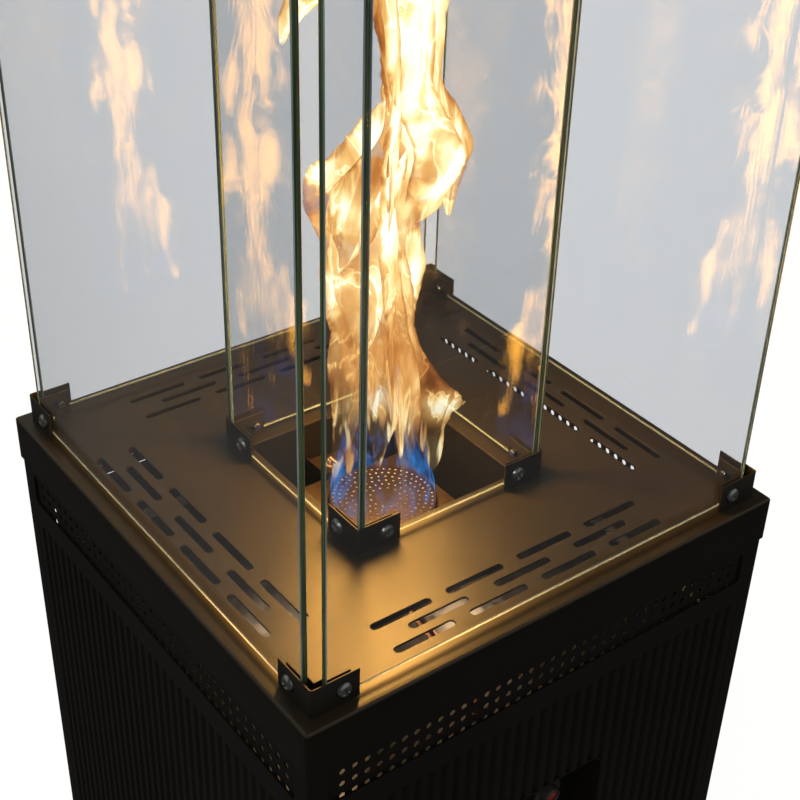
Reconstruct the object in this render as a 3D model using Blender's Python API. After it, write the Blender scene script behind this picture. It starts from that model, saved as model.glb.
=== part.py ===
"""Square glass tower heater for a terrace, burning propane from a bottle inside its base.

A steel cabinet on four feet carries a slotted deck. A round burner sits in a well in the deck,
inside a square chimney of four glass panels, and four larger panels stand round the chimney as a
guard. A crown closes the top. Lengths are in metres, +Z is up, the origin is the middle of the
footprint on the ground, and the front, with the control recess, faces -Y.
"""

import math

import bmesh
import bpy
from mathutils import Matrix, Vector

# Sheet metal, clearances and what cutters and joins share
SHEET = 0.0015
THIN_SHEET = 0.0012
FIT = 0.0003
BITE = 0.0006
OVERRUN = 0.004

# Deck, the lid of the cabinet
DECK_HALF = 0.210
DECK_HEIGHT = 0.680
DECK_SKIRT = 0.0375
DECK_EDGE_RADIUS = 0.0014
SKIRT_GAP = 0.0005
OPENING_HALF = 0.070
OPENING_CORNER = 0.003
SLOT_WIDTH = 0.006
SLOT_EDGE = 0.0324
SLOT_ROW_STEP = 0.0133
SLOT_CORNER_GAP = 0.030
SLOT_BRIDGE = 0.014
SLOT_MIDDLE_BRIDGE = 0.024
SLOT_COUNT = 4
SLOT_MIDDLE_COUNT = 3

# Cabinet walls
WALL_HALF = DECK_HALF - SHEET - SKIRT_GAP
WALL_TOP = DECK_HEIGHT - SHEET - FIT
WALL_RETURN = 0.010
FOOT_HEIGHT = 0.022
FOOT_RADIUS = 0.018
FOOT_STEM_RADIUS = 0.009
FOOT_PAD = 0.009
FOOT_INSET = 0.036
FLOOR_UPSTAND = 0.020
DRAIN_COUNT = 5
DRAIN_PITCH = 0.040

# Vent window of each wall, with a perforated strip behind it
VENT_DROP = 0.047
VENT_HEIGHT = 0.028
VENT_MARGIN = 0.016
VENT_CORNER = 0.003
STRIP_LAP = 0.0055
STRIP_THICKNESS = 0.001

# Vertical flutes
FLUTE_DROP = 0.097
FLUTE_BAND = 0.040
FLUTE_MARGIN = 0.011
FLUTE_PITCH = 0.01125
FLUTE_DEPTH = 0.0022
FLUTE_SINK = 0.0002
FLUTE_WAVE_SHARES = ((0.0, 0.0), (0.44, 0.0), (0.62, 1.0), (0.82, 1.0))

# Control recess in the front wall
PAN_DROP = 0.186
PAN_HALF = 0.064
PAN_HEIGHT = 0.100
PAN_CORNER = 0.014
PAN_DEPTH = 0.030
PAN_RIM = 0.006

# Controls
KNOB_OFFSET = -0.022
KNOB_RADIUS = 0.021
KNOB_LENGTH = 0.020
KNOB_STANDOFF = 0.005
KNOB_GRIP = 0.006
KNOB_GRIP_RISE = 0.003
SPINDLE_RADIUS = 0.004
SPINDLE_PLAY = 0.0004
SPINDLE_DEPTH = 0.012
KNOB_SOCKET = 0.011
PUSH_TRAVEL = 0.003
BUTTON_OFFSET = 0.036
BUTTON_RADIUS = 0.008
BUTTON_PLAY = 0.0004
BUTTON_STICK_OUT = 0.010
BUTTON_LENGTH = 0.024
BUTTON_TRAVEL = 0.006
IGNITER_WALL = 0.002
IGNITER_FLANGE = 0.003
IGNITER_LENGTH = 0.050

# Gas train
VALVE_HALF_WIDTH = 0.020
VALVE_HALF_HEIGHT = 0.022
VALVE_DEPTH = 0.040
VALVE_EDGE = 0.003
NIPPLE_HEX_RADIUS = 0.011
NIPPLE_HEX_LENGTH = 0.010
NIPPLE_THREAD_RADIUS = 0.008
NIPPLE_THREAD_LENGTH = 0.020
NIPPLE_BORE = 0.003
PIPE_RADIUS = 0.004
PIPE_BEND = 0.014
PIPE_BEND_STEPS = 6
PIPE_DROP = 0.116
INJECTOR_RADIUS = 0.008
INJECTOR_TOP_DROP = 0.107
INJECTOR_TIP_RADIUS = 0.003
INJECTOR_TIP_DROP = 0.103
PARTITION_DROP = 0.132
PARTITION_UPSTAND = 0.012
PARTITION_SETBACK = 0.020
PIPE_HOLE_PLAY = 0.001
TILT_SWITCH_SIZE = Vector((0.024, 0.030, 0.018))
TILT_SWITCH_PLACE = Vector((0.120, -0.120))

# Burner in its well
WELL_DEPTH = 0.090
WELL_PLAY = 0.001
WELL_LIP = 0.012
TRAY_LEDGE = 0.006
TRAY_DROP = 0.041
TRAY_LEG = 0.009
BURNER_LEDGE = 0.029
BURNER_DROP = 0.036
BURNER_DRUM = 0.0045
NECK_RADIUS = 0.013
NECK_WALL = 0.0015
NECK_DROP = 0.060
NECK_PLAY = 0.001
PORT_RADIUS = 0.0014
PORT_COUNT = 12
PORT_RING_SHARE = 0.72
VENTURI_DROP = 0.100
VENTURI_WAIST_SHARE = 0.78
VENTURI_BELL = 0.004

# Ignition bracket beside the burner, with a spark electrode and a thermocouple
PILOT_WIDTH = 0.044
PILOT_LEDGE = 0.002
PILOT_DROP = 0.036
PILOT_FLANGE = 0.012
PILOT_FLANGE_RISE = 0.003
PILOT_HOLE_PLAY = 0.0003
ELECTRODE_PLACE_SHARES = (0.30, 0.35)
ELECTRODE_RADIUS = 0.003
ELECTRODE_RISE = 0.006
ELECTRODE_STEM = 0.012
ELECTRODE_COLLAR = 0.0012
ELECTRODE_WIRE = 0.0018
ELECTRODE_REACH = 0.013
THERMOCOUPLE_PLACE_SHARES = (0.72, 0.35)
THERMOCOUPLE_RADIUS = 0.0021
THERMOCOUPLE_RISE = 0.011
THERMOCOUPLE_STEM = 0.016
THERMOCOUPLE_COLLAR = 0.0013

# Glass, in corner brackets on the deck and below the crown
GLASS = 0.005
GLASS_HEIGHT = 0.600
GLASS_LIFT = 0.005
GUARD_CORNER_GAP = 0.011
GUARD_LEDGE = 0.012
CHIMNEY_LEDGE = 0.014
BRACKET_WING = 0.037
BRACKET_HEIGHT = 0.0235
BRACKET_LIP_WING = 0.033
BRACKET_LIP_HEIGHT = 0.021

# Door for the bottle, in the rear wall
STILE = 0.020
DOOR_GAP = 0.002
DOOR_RETURN = 0.0135
DOOR_TOP_DROP = 0.086
DOOR_SILL = 0.030
DOOR_FLUTE_MARGIN = 0.009
PIVOT_INSET = 0.007
PIVOT_DEPTH = 0.007
PIVOT_TAB = 0.014
PIVOT_RADIUS = 0.0025
PIVOT_PLAY = 0.0002
PIVOT_COLLAR = 0.004
PIVOT_REACH = 0.007
PULL_INSET = 0.030
PULL_WIDTH = 0.024
PULL_HEIGHT = 0.076
PULL_RIM = 0.004
PULL_LIP = 0.005
PULL_DEPTH = 0.011
PULL_CORNER = 0.004
CATCH_REACH = 0.026
CATCH_DEPTH = 0.012
CATCH_HEIGHT = 0.020

# Crown on top of the glass
CROWN_LIFT = 0.003
CROWN_SKIRT = 0.035
CROWN_VENT = 0.020
COVER_LIP = 0.012
POST = 0.014
POST_INSET = 0.024
BAFFLE_HALF = 0.095
BAFFLE_RISE = 0.030
BAFFLE_LEG = 0.012

# Roundness
ARC_STEPS = 3
SLOT_STEPS = 2
PAN_STEPS = 4
TURNED_SIDES = 16
BURNER_SIDES = 28
PIN_SIDES = 12

# Places and heights worked out from the sizes above
GUARD_HALF = DECK_HALF - GUARD_LEDGE
CHIMNEY_HALF = OPENING_HALF + CHIMNEY_LEDGE
BURNER_RADIUS = OPENING_HALF - BURNER_LEDGE
TRAY_HALF = BURNER_RADIUS + TRAY_LEDGE
PILOT_LOW = Vector((-PILOT_WIDTH / 2, TRAY_HALF + PILOT_LEDGE))
PILOT_SIZE = Vector((PILOT_WIDTH, OPENING_HALF - PILOT_LOW.y))
SLOT_OUTER_ROW = DECK_HALF - SLOT_EDGE
SLOT_MIDDLE_ROW = SLOT_OUTER_ROW - SLOT_ROW_STEP
SLOT_INNER_ROW = SLOT_MIDDLE_ROW - SLOT_ROW_STEP
SLOT_ROW_HALF = SLOT_INNER_ROW - SLOT_CORNER_GAP
SLOT_LENGTH = (2 * SLOT_ROW_HALF - (SLOT_COUNT - 1) * SLOT_BRIDGE) / SLOT_COUNT
SLOT_PITCH = SLOT_LENGTH + SLOT_BRIDGE
SLOT_MIDDLE_PITCH = SLOT_LENGTH + SLOT_MIDDLE_BRIDGE
GLASS_BOTTOM = DECK_HEIGHT + GLASS_LIFT
GLASS_TOP = GLASS_BOTTOM + GLASS_HEIGHT
CROWN_BOTTOM = GLASS_TOP + CROWN_LIFT
COVER_BOTTOM = CROWN_BOTTOM + CROWN_SKIRT + CROWN_VENT
COVER_TOP = COVER_BOTTOM + COVER_LIP
FLUTE_TOP = DECK_HEIGHT - FLUTE_DROP
FLUTE_BOTTOM = FOOT_HEIGHT + FLUTE_BAND
FLUTE_BACK = FLUTE_SINK + FLUTE_DEPTH + THIN_SHEET
INSIDE_HALF = WALL_HALF - FLUTE_BACK - FIT
KNOB_HEIGHT = DECK_HEIGHT - PAN_DROP - PAN_HEIGHT / 2
PAN_BACK = -WALL_HALF + PAN_DEPTH
DOOR_HALF = WALL_HALF - STILE - DOOR_GAP
DOOR_TOP = DECK_HEIGHT - DOOR_TOP_DROP
DOOR_BOTTOM = FOOT_HEIGHT + DOOR_SILL

SIDES = {"front": 0, "right": 90, "rear": 180, "left": 270}
CORNERS = {"front_left": 0, "front_right": 90, "rear_right": 180, "rear_left": 270}


def clear_scene():
    for obj in list(bpy.data.objects):
        bpy.data.objects.remove(obj, do_unlink=True)


def finish(name, colour, roughness, metallic=0.0, transmission=0.0):
    """A Principled material of one colour."""
    material = bpy.data.materials.new(name)
    material.use_nodes = True
    shader = material.node_tree.nodes["Principled BSDF"]
    shader.inputs["Base Color"].default_value = (*colour, 1.0)
    shader.inputs["Roughness"].default_value = roughness
    shader.inputs["Metallic"].default_value = metallic
    shader.inputs["Transmission Weight"].default_value = transmission
    return material


def foot_of(bm):
    """The middle of a mesh's underside."""
    low = [min(vert.co[axis] for vert in bm.verts) for axis in range(3)]
    high = [max(vert.co[axis] for vert in bm.verts) for axis in range(3)]
    return Vector(((low[0] + high[0]) / 2, (low[1] + high[1]) / 2, low[2]))


def add_object(name, bm, material=None, turn=0, origin=None):
    """Links a mesh as an object turned about Z, in degrees.

    A piece has its origin in the middle of its underside, or where origin says. Without a material
    it is a cutter or a filler, and keeps its origin on the axis of the heater.
    """
    bmesh.ops.recalc_face_normals(bm, faces=bm.faces)
    origin = Vector() if material is None else foot_of(bm) if origin is None else Vector(origin)
    bmesh.ops.translate(bm, verts=bm.verts, vec=-origin)
    mesh = bpy.data.meshes.new(name)
    bm.to_mesh(mesh)
    bm.free()
    obj = bpy.data.objects.new(name, mesh)
    obj.location = Matrix.Rotation(math.radians(turn), 4, "Z") @ origin
    obj.rotation_euler.z = math.radians(turn)
    bpy.context.scene.collection.objects.link(obj)
    if material:
        mesh.materials.append(material.copy())
        mesh.materials[0].name = name
    else:
        obj.hide_render = True
        obj.display_type = "WIRE"
    return obj


def attach(obj, parent):
    """Parents an object to one that isn't turned, and leaves it where it is."""
    obj.parent = parent
    obj.location -= parent.location


def smooth(obj, angle=35):
    obj.data.shade_smooth()
    obj.data.set_sharp_from_angle(angle=math.radians(angle))
    return obj


def combine(obj, operation, others):
    for other in others:
        modifier = obj.modifiers.new(other.name, "BOOLEAN")
        modifier.operation = operation
        modifier.solver = "EXACT"
        modifier.object = other
    return obj


def cut(obj, *cutters):
    return combine(obj, "DIFFERENCE", cutters)


def fuse(obj, *fillers):
    return combine(obj, "UNION", fillers)


def block(bm, low, high):
    """A box from its lowest to its highest corner."""
    low, high = Vector(low), Vector(high)
    place = Matrix.Translation((low + high) / 2) @ Matrix.Diagonal((*(high - low), 1))
    return bmesh.ops.create_cube(bm, size=1, matrix=place)["verts"]


def prism(bm, outline, low, high, along="Z"):
    """An outline carried along Z, or an outline in X and Z carried along Y."""
    if along == "Z":
        points = [(u, v, low) for u, v in outline]
        way = Vector((0, 0, high - low))
    else:
        points = [(u, low, v) for u, v in outline]
        way = Vector((0, high - low, 0))
    face = bm.faces.new([bm.verts.new(point) for point in points])
    grown = bmesh.ops.extrude_face_region(bm, geom=[face])["geom"]
    bmesh.ops.translate(bm, verts=[v for v in grown if isinstance(v, bmesh.types.BMVert)], vec=way)


def turned(bm, profile, centre, sides=TURNED_SIDES, along="Z", closed=False):
    """Carries points of (radius, height) round an axis. A radius of zero is a point on the axis."""
    axes = {"Z": Matrix(), "-Y": Matrix.Rotation(math.pi / 2, 4, "X")}
    place = Matrix.Translation(centre) @ axes[along]
    rings = []
    for radius, height in profile:
        count = sides if radius > 0 else 1
        angles = [2 * math.pi * (i + 0.5) / sides for i in range(count)]
        ring = [(radius * math.cos(a), radius * math.sin(a), height) for a in angles]
        rings.append([bm.verts.new(place @ Vector(point)) for point in ring])
    pairs = list(zip(rings, rings[1:])) + ([(rings[-1], rings[0])] if closed else [])
    for first, second in pairs:
        for i in range(sides):
            corners = [ring[j % len(ring)] for ring, j in
                       ((first, i), (first, i + 1), (second, i + 1), (second, i))]
            bm.faces.new(list(dict.fromkeys(corners)))


def arc(centre, radius, start, end, steps=ARC_STEPS):
    """Points on an arc, from one angle in degrees to another."""
    angles = [math.radians(start + (end - start) * i / steps) for i in range(steps + 1)]
    return [(centre[0] + radius * math.cos(a), centre[1] + radius * math.sin(a)) for a in angles]


def rounded_rectangle(low, high, radius, steps=ARC_STEPS):
    (x0, y0), (x1, y1) = low, high
    return (arc((x1 - radius, y0 + radius), radius, -90, 0, steps)
            + arc((x1 - radius, y1 - radius), radius, 0, 90, steps)
            + arc((x0 + radius, y1 - radius), radius, 90, 180, steps)
            + arc((x0 + radius, y0 + radius), radius, 180, 270, steps))


def rectangle(low, high):
    (x0, y0), (x1, y1) = low, high
    return [(x0, y0), (x1, y0), (x1, y1), (x0, y1)]


def square_ring(bm, outer, inner, low, high):
    """Four mitred bars round a square, which meet and share their mitre corners."""
    outline = rectangle((-outer, -outer), (outer, outer))
    hole = rectangle((-inner, -inner), (inner, inner))
    loops = [[bm.verts.new((x, y, z)) for x, y in loop]
             for loop, z in ((outline, low), (outline, high), (hole, high), (hole, low))]
    for first, second in zip(loops, loops[1:] + loops[:1]):
        for i in range(4):
            j = (i + 1) % 4
            bm.faces.new((first[i], first[j], second[j], second[i]))


def slot_cutter(name, rows, low, high):
    """Round-ended slots in rows along all four sides, each row a (distance, count, pitch)."""
    bm = bmesh.new()
    reach = (SLOT_LENGTH - SLOT_WIDTH) / 2
    for turn in SIDES.values():
        spin = Matrix.Rotation(math.radians(turn), 4, "Z")
        for distance, count, pitch in rows:
            for i in range(count):
                centre = (i - (count - 1) / 2) * pitch
                outline = (arc((centre + reach, -distance), SLOT_WIDTH / 2, -90, 90, SLOT_STEPS)
                           + arc((centre - reach, -distance), SLOT_WIDTH / 2, 90, 270, SLOT_STEPS))
                prism(bm, [(spin @ Vector((x, y, 0))).to_2d() for x, y in outline], low, high)
    return add_object(name, bm)


def make_deck():
    """The folded lid: a flat top with a skirt, a square opening and three rows of slots a side."""
    bm = bmesh.new()
    skirt_bottom = DECK_HEIGHT - DECK_SKIRT
    block(bm, (-DECK_HALF, -DECK_HALF, skirt_bottom), (DECK_HALF, DECK_HALF, DECK_HEIGHT))
    folds = [e for e in bm.edges if max(v.co.z for v in e.verts) == max(v.co.z for v in bm.verts)]
    bmesh.ops.bevel(bm, geom=folds, offset=DECK_EDGE_RADIUS, segments=2, profile=0.5, affect="EDGES")
    deck = add_object("deck", bm, PAINT)
    inside = bmesh.new()
    half = DECK_HALF - SHEET
    block(inside, (-half, -half, skirt_bottom - OVERRUN), (half, half, DECK_HEIGHT - SHEET))
    opening = bmesh.new()
    low, high = DECK_HEIGHT - OVERRUN, DECK_HEIGHT + OVERRUN
    square = rounded_rectangle((-OPENING_HALF,) * 2, (OPENING_HALF,) * 2, OPENING_CORNER)
    prism(opening, square, low, high)
    rows = ((SLOT_INNER_ROW, SLOT_COUNT, SLOT_PITCH),
            (SLOT_MIDDLE_ROW, SLOT_MIDDLE_COUNT, SLOT_MIDDLE_PITCH),
            (SLOT_OUTER_ROW, SLOT_COUNT, SLOT_PITCH))
    cut(deck, add_object("deck_inside", inside), add_object("deck_opening", opening),
        slot_cutter("deck_slots", rows, low, high))


def flute_field(name, half, turn):
    """A grooved plate over the half width given, with bars that close the ends of its grooves."""
    count = int((2 * half - FLUTE_PITCH * FLUTE_WAVE_SHARES[1][0]) / FLUTE_PITCH)
    start = -count * FLUTE_PITCH / 2 - FLUTE_PITCH * FLUTE_WAVE_SHARES[1][0] / 2
    wave = [(-half - BITE, FLUTE_SINK)]
    for i in range(count):
        wave += [(start + (i + along) * FLUTE_PITCH, FLUTE_SINK + deep * FLUTE_DEPTH)
                 for along, deep in FLUTE_WAVE_SHARES[1:]]
        wave.append((start + (i + 1) * FLUTE_PITCH, FLUTE_SINK))
    wave.append((half + BITE, FLUTE_SINK))
    back = -WALL_HALF + FLUTE_BACK
    face = [(u, -WALL_HALF + depth) for u, depth in wave]
    bm = bmesh.new()
    outline = face + [(half + BITE, back), (-half - BITE, back)]
    prism(bm, outline, FLUTE_BOTTOM - BITE, FLUTE_TOP + BITE)
    field = add_object(name + "_flutes", bm, turn=turn)
    bars = bmesh.new()
    front, rear = -WALL_HALF + SHEET / 2, back - BITE / 3
    block(bars, (-half, front, FLUTE_TOP - BITE / 2), (half, rear, FLUTE_TOP + SHEET))
    block(bars, (-half, front, FLUTE_BOTTOM - SHEET), (half, rear, FLUTE_BOTTOM + BITE / 2))
    return field, add_object(name + "_flute_ends", bars, turn=turn)


def wall_windows(name, turn, field_half):
    """The cutter for a wall's vent window and for the place of its flutes."""
    bm = bmesh.new()
    half = WALL_HALF - VENT_MARGIN
    top = DECK_HEIGHT - VENT_DROP
    low, high = -WALL_HALF - OVERRUN, -WALL_HALF + OVERRUN
    prism(bm, rounded_rectangle((-half, top - VENT_HEIGHT), (half, top), VENT_CORNER), low, high, "Y")
    if field_half:
        corners = rectangle((-field_half, FLUTE_BOTTOM), (field_half, FLUTE_TOP))
        prism(bm, corners, low, high, "Y")
    return add_object(name + "_windows", bm, turn=turn)


def make_side_wall(side):
    """A wall whose vertical edges are folded in behind the front and rear walls."""
    name, turn = side + "_wall", SIDES[side]
    half = WALL_HALF - SHEET - FIT
    face, back = -WALL_HALF, -WALL_HALF + SHEET
    edge, fold = face + WALL_RETURN, half - SHEET
    outline = [(-half, face), (half, face), (half, edge), (fold, edge), (fold, back),
               (-fold, back), (-fold, edge), (-half, edge)]
    bm = bmesh.new()
    prism(bm, outline, FOOT_HEIGHT, WALL_TOP)
    field_half = WALL_HALF - FLUTE_MARGIN
    wall = add_object(name, bm, PAINT_DARK, turn)
    cut(wall, wall_windows(name, turn, field_half))
    fuse(wall, *flute_field(name, field_half, turn))


def pan_outline(grow):
    """The outline of the control recess, grown on every side."""
    low = (-PAN_HALF - grow, KNOB_HEIGHT - PAN_HEIGHT / 2 - grow)
    high = (PAN_HALF + grow, KNOB_HEIGHT + PAN_HEIGHT / 2 + grow)
    return rounded_rectangle(low, high, PAN_CORNER + grow, PAN_STEPS)


def make_front_wall():
    name, turn = "front_wall", SIDES["front"]
    bm = bmesh.new()
    block(bm, (-WALL_HALF, -WALL_HALF, FOOT_HEIGHT), (WALL_HALF, -WALL_HALF + SHEET, WALL_TOP))
    field_half = WALL_HALF - FLUTE_MARGIN
    wall = add_object(name, bm, PAINT_DARK, turn)
    cut(wall, wall_windows(name, turn, field_half))
    fuse(wall, *flute_field(name, field_half, turn))
    hole = bmesh.new()
    depth = -WALL_HALF + FLUTE_BACK + OVERRUN
    prism(hole, pan_outline(THIN_SHEET + FIT), -WALL_HALF - OVERRUN, depth, "Y")
    cut(wall, add_object("front_wall_recess", hole))


def make_control_pan():
    """The folded pan of the recess, with a rim behind the flutes and holes for the two controls."""
    bm = bmesh.new()
    rim = -WALL_HALF + FLUTE_BACK + FIT
    prism(bm, pan_outline(THIN_SHEET + PAN_RIM), rim, rim + THIN_SHEET, "Y")
    pan = add_object("control_pan", bm, PAINT_DARK)
    body = bmesh.new()
    prism(body, pan_outline(THIN_SHEET), -WALL_HALF + FLUTE_SINK, PAN_BACK + THIN_SHEET, "Y")
    hollow = bmesh.new()
    prism(hollow, pan_outline(0), -WALL_HALF - OVERRUN, PAN_BACK, "Y")
    holes = bmesh.new()
    reach = ((0, -OVERRUN), (SPINDLE_RADIUS + SPINDLE_PLAY, -OVERRUN),
             (SPINDLE_RADIUS + SPINDLE_PLAY, OVERRUN), (0, OVERRUN))
    turned(holes, reach, (KNOB_OFFSET, PAN_BACK, KNOB_HEIGHT), along="-Y")
    radius = BUTTON_RADIUS + BUTTON_PLAY + IGNITER_WALL + FIT
    reach = ((0, -OVERRUN), (radius, -OVERRUN), (radius, OVERRUN), (0, OVERRUN))
    turned(holes, reach, (BUTTON_OFFSET, PAN_BACK, KNOB_HEIGHT), along="-Y")
    fuse(pan, add_object("pan_body", body))
    cut(pan, add_object("pan_hollow", hollow), add_object("pan_holes", holes))


def pivot_line():
    """The hinge line in the rear wall's own X and Y, before it is turned to the rear."""
    return DOOR_HALF - PIVOT_INSET, -WALL_HALF + PIVOT_DEPTH


def pivot_bores(name):
    bm = bmesh.new()
    radius = PIVOT_RADIUS + PIVOT_PLAY
    for height in (DOOR_BOTTOM, DOOR_TOP):
        low, high = height - OVERRUN, height + OVERRUN
        turned(bm, ((0, low), (radius, low), (radius, high), (0, high)), (*pivot_line(), 0), PIN_SIDES)
    return add_object(name, bm, turn=SIDES["rear"])


def make_rear_frame():
    """The rear wall, open for the door, with a tab above and below the door for its pivots."""
    name, turn = "rear_frame", SIDES["rear"]
    bm = bmesh.new()
    block(bm, (-WALL_HALF, -WALL_HALF, FOOT_HEIGHT), (WALL_HALF, -WALL_HALF + SHEET, WALL_TOP))
    frame = add_object(name, bm, PAINT_DARK, turn)
    doorway = bmesh.new()
    half = DOOR_HALF + DOOR_GAP
    low, high = DOOR_BOTTOM - DOOR_GAP, DOOR_TOP + DOOR_GAP
    prism(doorway, rectangle((-half, low), (half, high)), -WALL_HALF - OVERRUN, -WALL_HALF + OVERRUN, "Y")
    tabs = bmesh.new()
    for bottom, top in ((low - SHEET, low - BITE / 3), (high + BITE / 3, high + SHEET)):
        block(tabs, (DOOR_HALF - PIVOT_TAB, -WALL_HALF + SHEET / 2, bottom),
              (DOOR_HALF + PIVOT_INSET, -WALL_HALF + PIVOT_TAB, top))
    cut(frame, wall_windows(name, turn, None), add_object("doorway", doorway, turn=turn))
    fuse(frame, add_object("pivot_tabs", tabs, turn=turn))
    cut(frame, pivot_bores("frame_bores"))


def pull_outline(grow, lip=0.0):
    """The outline of the door pull's cup, grown all round, with its edge by the door's free side moved in."""
    centre = -DOOR_HALF + PULL_INSET
    middle = (DOOR_TOP + DOOR_BOTTOM) / 2
    low = (centre - PULL_WIDTH / 2 - grow + lip, middle - PULL_HEIGHT / 2 - grow)
    high = (centre + PULL_WIDTH / 2 + grow, middle + PULL_HEIGHT / 2 + grow)
    return rounded_rectangle(low, high, PULL_CORNER + grow, SLOT_STEPS)


def make_door():
    """The bottle door: a fluted pan with folded edges, bored for its two pivots."""
    turn = SIDES["rear"]
    bm = bmesh.new()
    block(bm, (-DOOR_HALF, -WALL_HALF, DOOR_BOTTOM), (DOOR_HALF, -WALL_HALF + DOOR_RETURN, DOOR_TOP))
    door = add_object("bottle_door", bm, PAINT_DARK, turn)
    inside = bmesh.new()
    half = DOOR_HALF - THIN_SHEET
    block(inside, (-half, -WALL_HALF + SHEET, DOOR_BOTTOM + THIN_SHEET),
          (half, -WALL_HALF + DOOR_RETURN + OVERRUN, DOOR_TOP - THIN_SHEET))
    field_half = DOOR_HALF - DOOR_FLUTE_MARGIN
    place = bmesh.new()
    corners = rectangle((-field_half, FLUTE_BOTTOM), (field_half, FLUTE_TOP))
    prism(place, corners, -WALL_HALF - OVERRUN, -WALL_HALF + OVERRUN, "Y")
    cut(door, add_object("door_inside", inside, turn=turn), add_object("door_place", place, turn=turn))
    fuse(door, *flute_field("door", field_half, turn))
    hole = bmesh.new()
    prism(hole, pull_outline(THIN_SHEET + FIT), -WALL_HALF - OVERRUN, -WALL_HALF + FLUTE_BACK + OVERRUN, "Y")
    cut(door, add_object("door_pull_hole", hole, turn=turn), pivot_bores("door_bores"))
    attach(door, door_pivot_line())


def make_door_pull():
    """The sunk cup in the door, whose rim overhangs it on the free side for the fingers."""
    turn = SIDES["rear"]
    face = -WALL_HALF + FLUTE_SINK - FIT
    bm = bmesh.new()
    prism(bm, pull_outline(THIN_SHEET + PULL_RIM), face - THIN_SHEET, face, "Y")
    pull = add_object("door_pull", bm, STEEL, turn)
    cup, hollow, mouth = bmesh.new(), bmesh.new(), bmesh.new()
    prism(cup, pull_outline(THIN_SHEET), face - BITE / 2, face + PULL_DEPTH, "Y")
    prism(hollow, pull_outline(0), face, face + PULL_DEPTH - THIN_SHEET, "Y")
    prism(mouth, pull_outline(0, PULL_LIP), face - OVERRUN, face + OVERRUN, "Y")
    fuse(pull, add_object("pull_cup", cup, turn=turn))
    cut(pull, add_object("pull_hollow", hollow, turn=turn), add_object("pull_mouth", mouth, turn=turn))
    attach(pull, door_pivot_line())


def door_pivot_line():
    """The empty on the door's hinge line, which the pieces of the door hang from."""
    line = bpy.data.objects.get("door_pivot_line")
    if line is None:
        x, y = pivot_line()
        line = bpy.data.objects.new("door_pivot_line", None)
        line.location = (-x, -y, DOOR_BOTTOM)
        bpy.context.scene.collection.objects.link(line)
    return line


def make_pivot_pins():
    """The pins the door turns on, each with a collar between the door and the frame's tab."""
    for which, door_edge, way in (("lower", DOOR_BOTTOM, -1), ("upper", DOOR_TOP, 1)):
        radius, collar = PIVOT_RADIUS, PIVOT_COLLAR
        profile = [(0, -PIVOT_REACH), (radius, -PIVOT_REACH), (radius, FIT), (collar, FIT),
                   (collar, DOOR_GAP - FIT), (radius, DOOR_GAP - FIT), (radius, PIVOT_REACH),
                   (0, PIVOT_REACH)]
        bm = bmesh.new()
        turned(bm, [(r, door_edge + way * h) for r, h in profile], (*pivot_line(), 0), PIN_SIDES)
        smooth(add_object("pivot_pin_" + which, bm, STEEL, SIDES["rear"]))


def make_door_catch():
    """A magnet on the wall beside the free edge of the door, just behind the door's fold."""
    bm = bmesh.new()
    near = -WALL_HALF + DOOR_RETURN + FIT
    middle = (DOOR_TOP + DOOR_BOTTOM) / 2
    block(bm, (-INSIDE_HALF, near, middle - CATCH_HEIGHT / 2),
          (-INSIDE_HALF + CATCH_REACH, near + CATCH_DEPTH, middle + CATCH_HEIGHT / 2))
    add_object("door_catch", bm, PLASTIC, SIDES["rear"])


def make_vent_strip(side):
    """The strip behind a vent window."""
    bm = bmesh.new()
    half = WALL_HALF - VENT_MARGIN + STRIP_LAP
    top = DECK_HEIGHT - VENT_DROP + STRIP_LAP
    near = -WALL_HALF + SHEET + FIT
    block(bm, (-half, near, top - VENT_HEIGHT - 2 * STRIP_LAP), (half, near + STRIP_THICKNESS, top))
    add_object(side + "_vent_strip", bm, PAINT_DARK, SIDES[side])


def make_floor():
    """The floor pan, with folded-up edges and slots that let escaped gas drain out."""
    half = WALL_HALF - 2 * SHEET - 2 * FIT
    top = FOOT_HEIGHT + SHEET
    bm = bmesh.new()
    block(bm, (-half, -half, FOOT_HEIGHT), (half, half, top))
    floor = add_object("base_floor", bm, PAINT_DARK)
    rim = bmesh.new()
    square_ring(rim, half, half - SHEET, FOOT_HEIGHT + SHEET / 2, top + FLOOR_UPSTAND)
    fuse(floor, add_object("floor_rim", rim))
    drains = bmesh.new()
    reach = (SLOT_LENGTH - SLOT_WIDTH) / 2
    for i in range(DRAIN_COUNT):
        middle = (i - (DRAIN_COUNT - 1) / 2) * DRAIN_PITCH
        outline = (arc((reach, middle), SLOT_WIDTH / 2, -90, 90, SLOT_STEPS)
                   + arc((-reach, middle), SLOT_WIDTH / 2, 90, 270, SLOT_STEPS))
        prism(drains, outline, FOOT_HEIGHT - OVERRUN, top + OVERRUN)
    cut(floor, add_object("floor_drains", drains))


def make_feet():
    place = WALL_HALF - FOOT_INSET
    top = FOOT_HEIGHT - FIT
    chamfer = SHEET
    profile = ((0, 0), (FOOT_RADIUS - chamfer, 0), (FOOT_RADIUS, chamfer), (FOOT_RADIUS, FOOT_PAD),
               (FOOT_STEM_RADIUS, FOOT_PAD + chamfer), (FOOT_STEM_RADIUS, top), (0, top))
    for corner, turn in CORNERS.items():
        bm = bmesh.new()
        turned(bm, profile, (-place, -place, 0))
        smooth(add_object("foot_" + corner, bm, RUBBER, turn))


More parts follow.
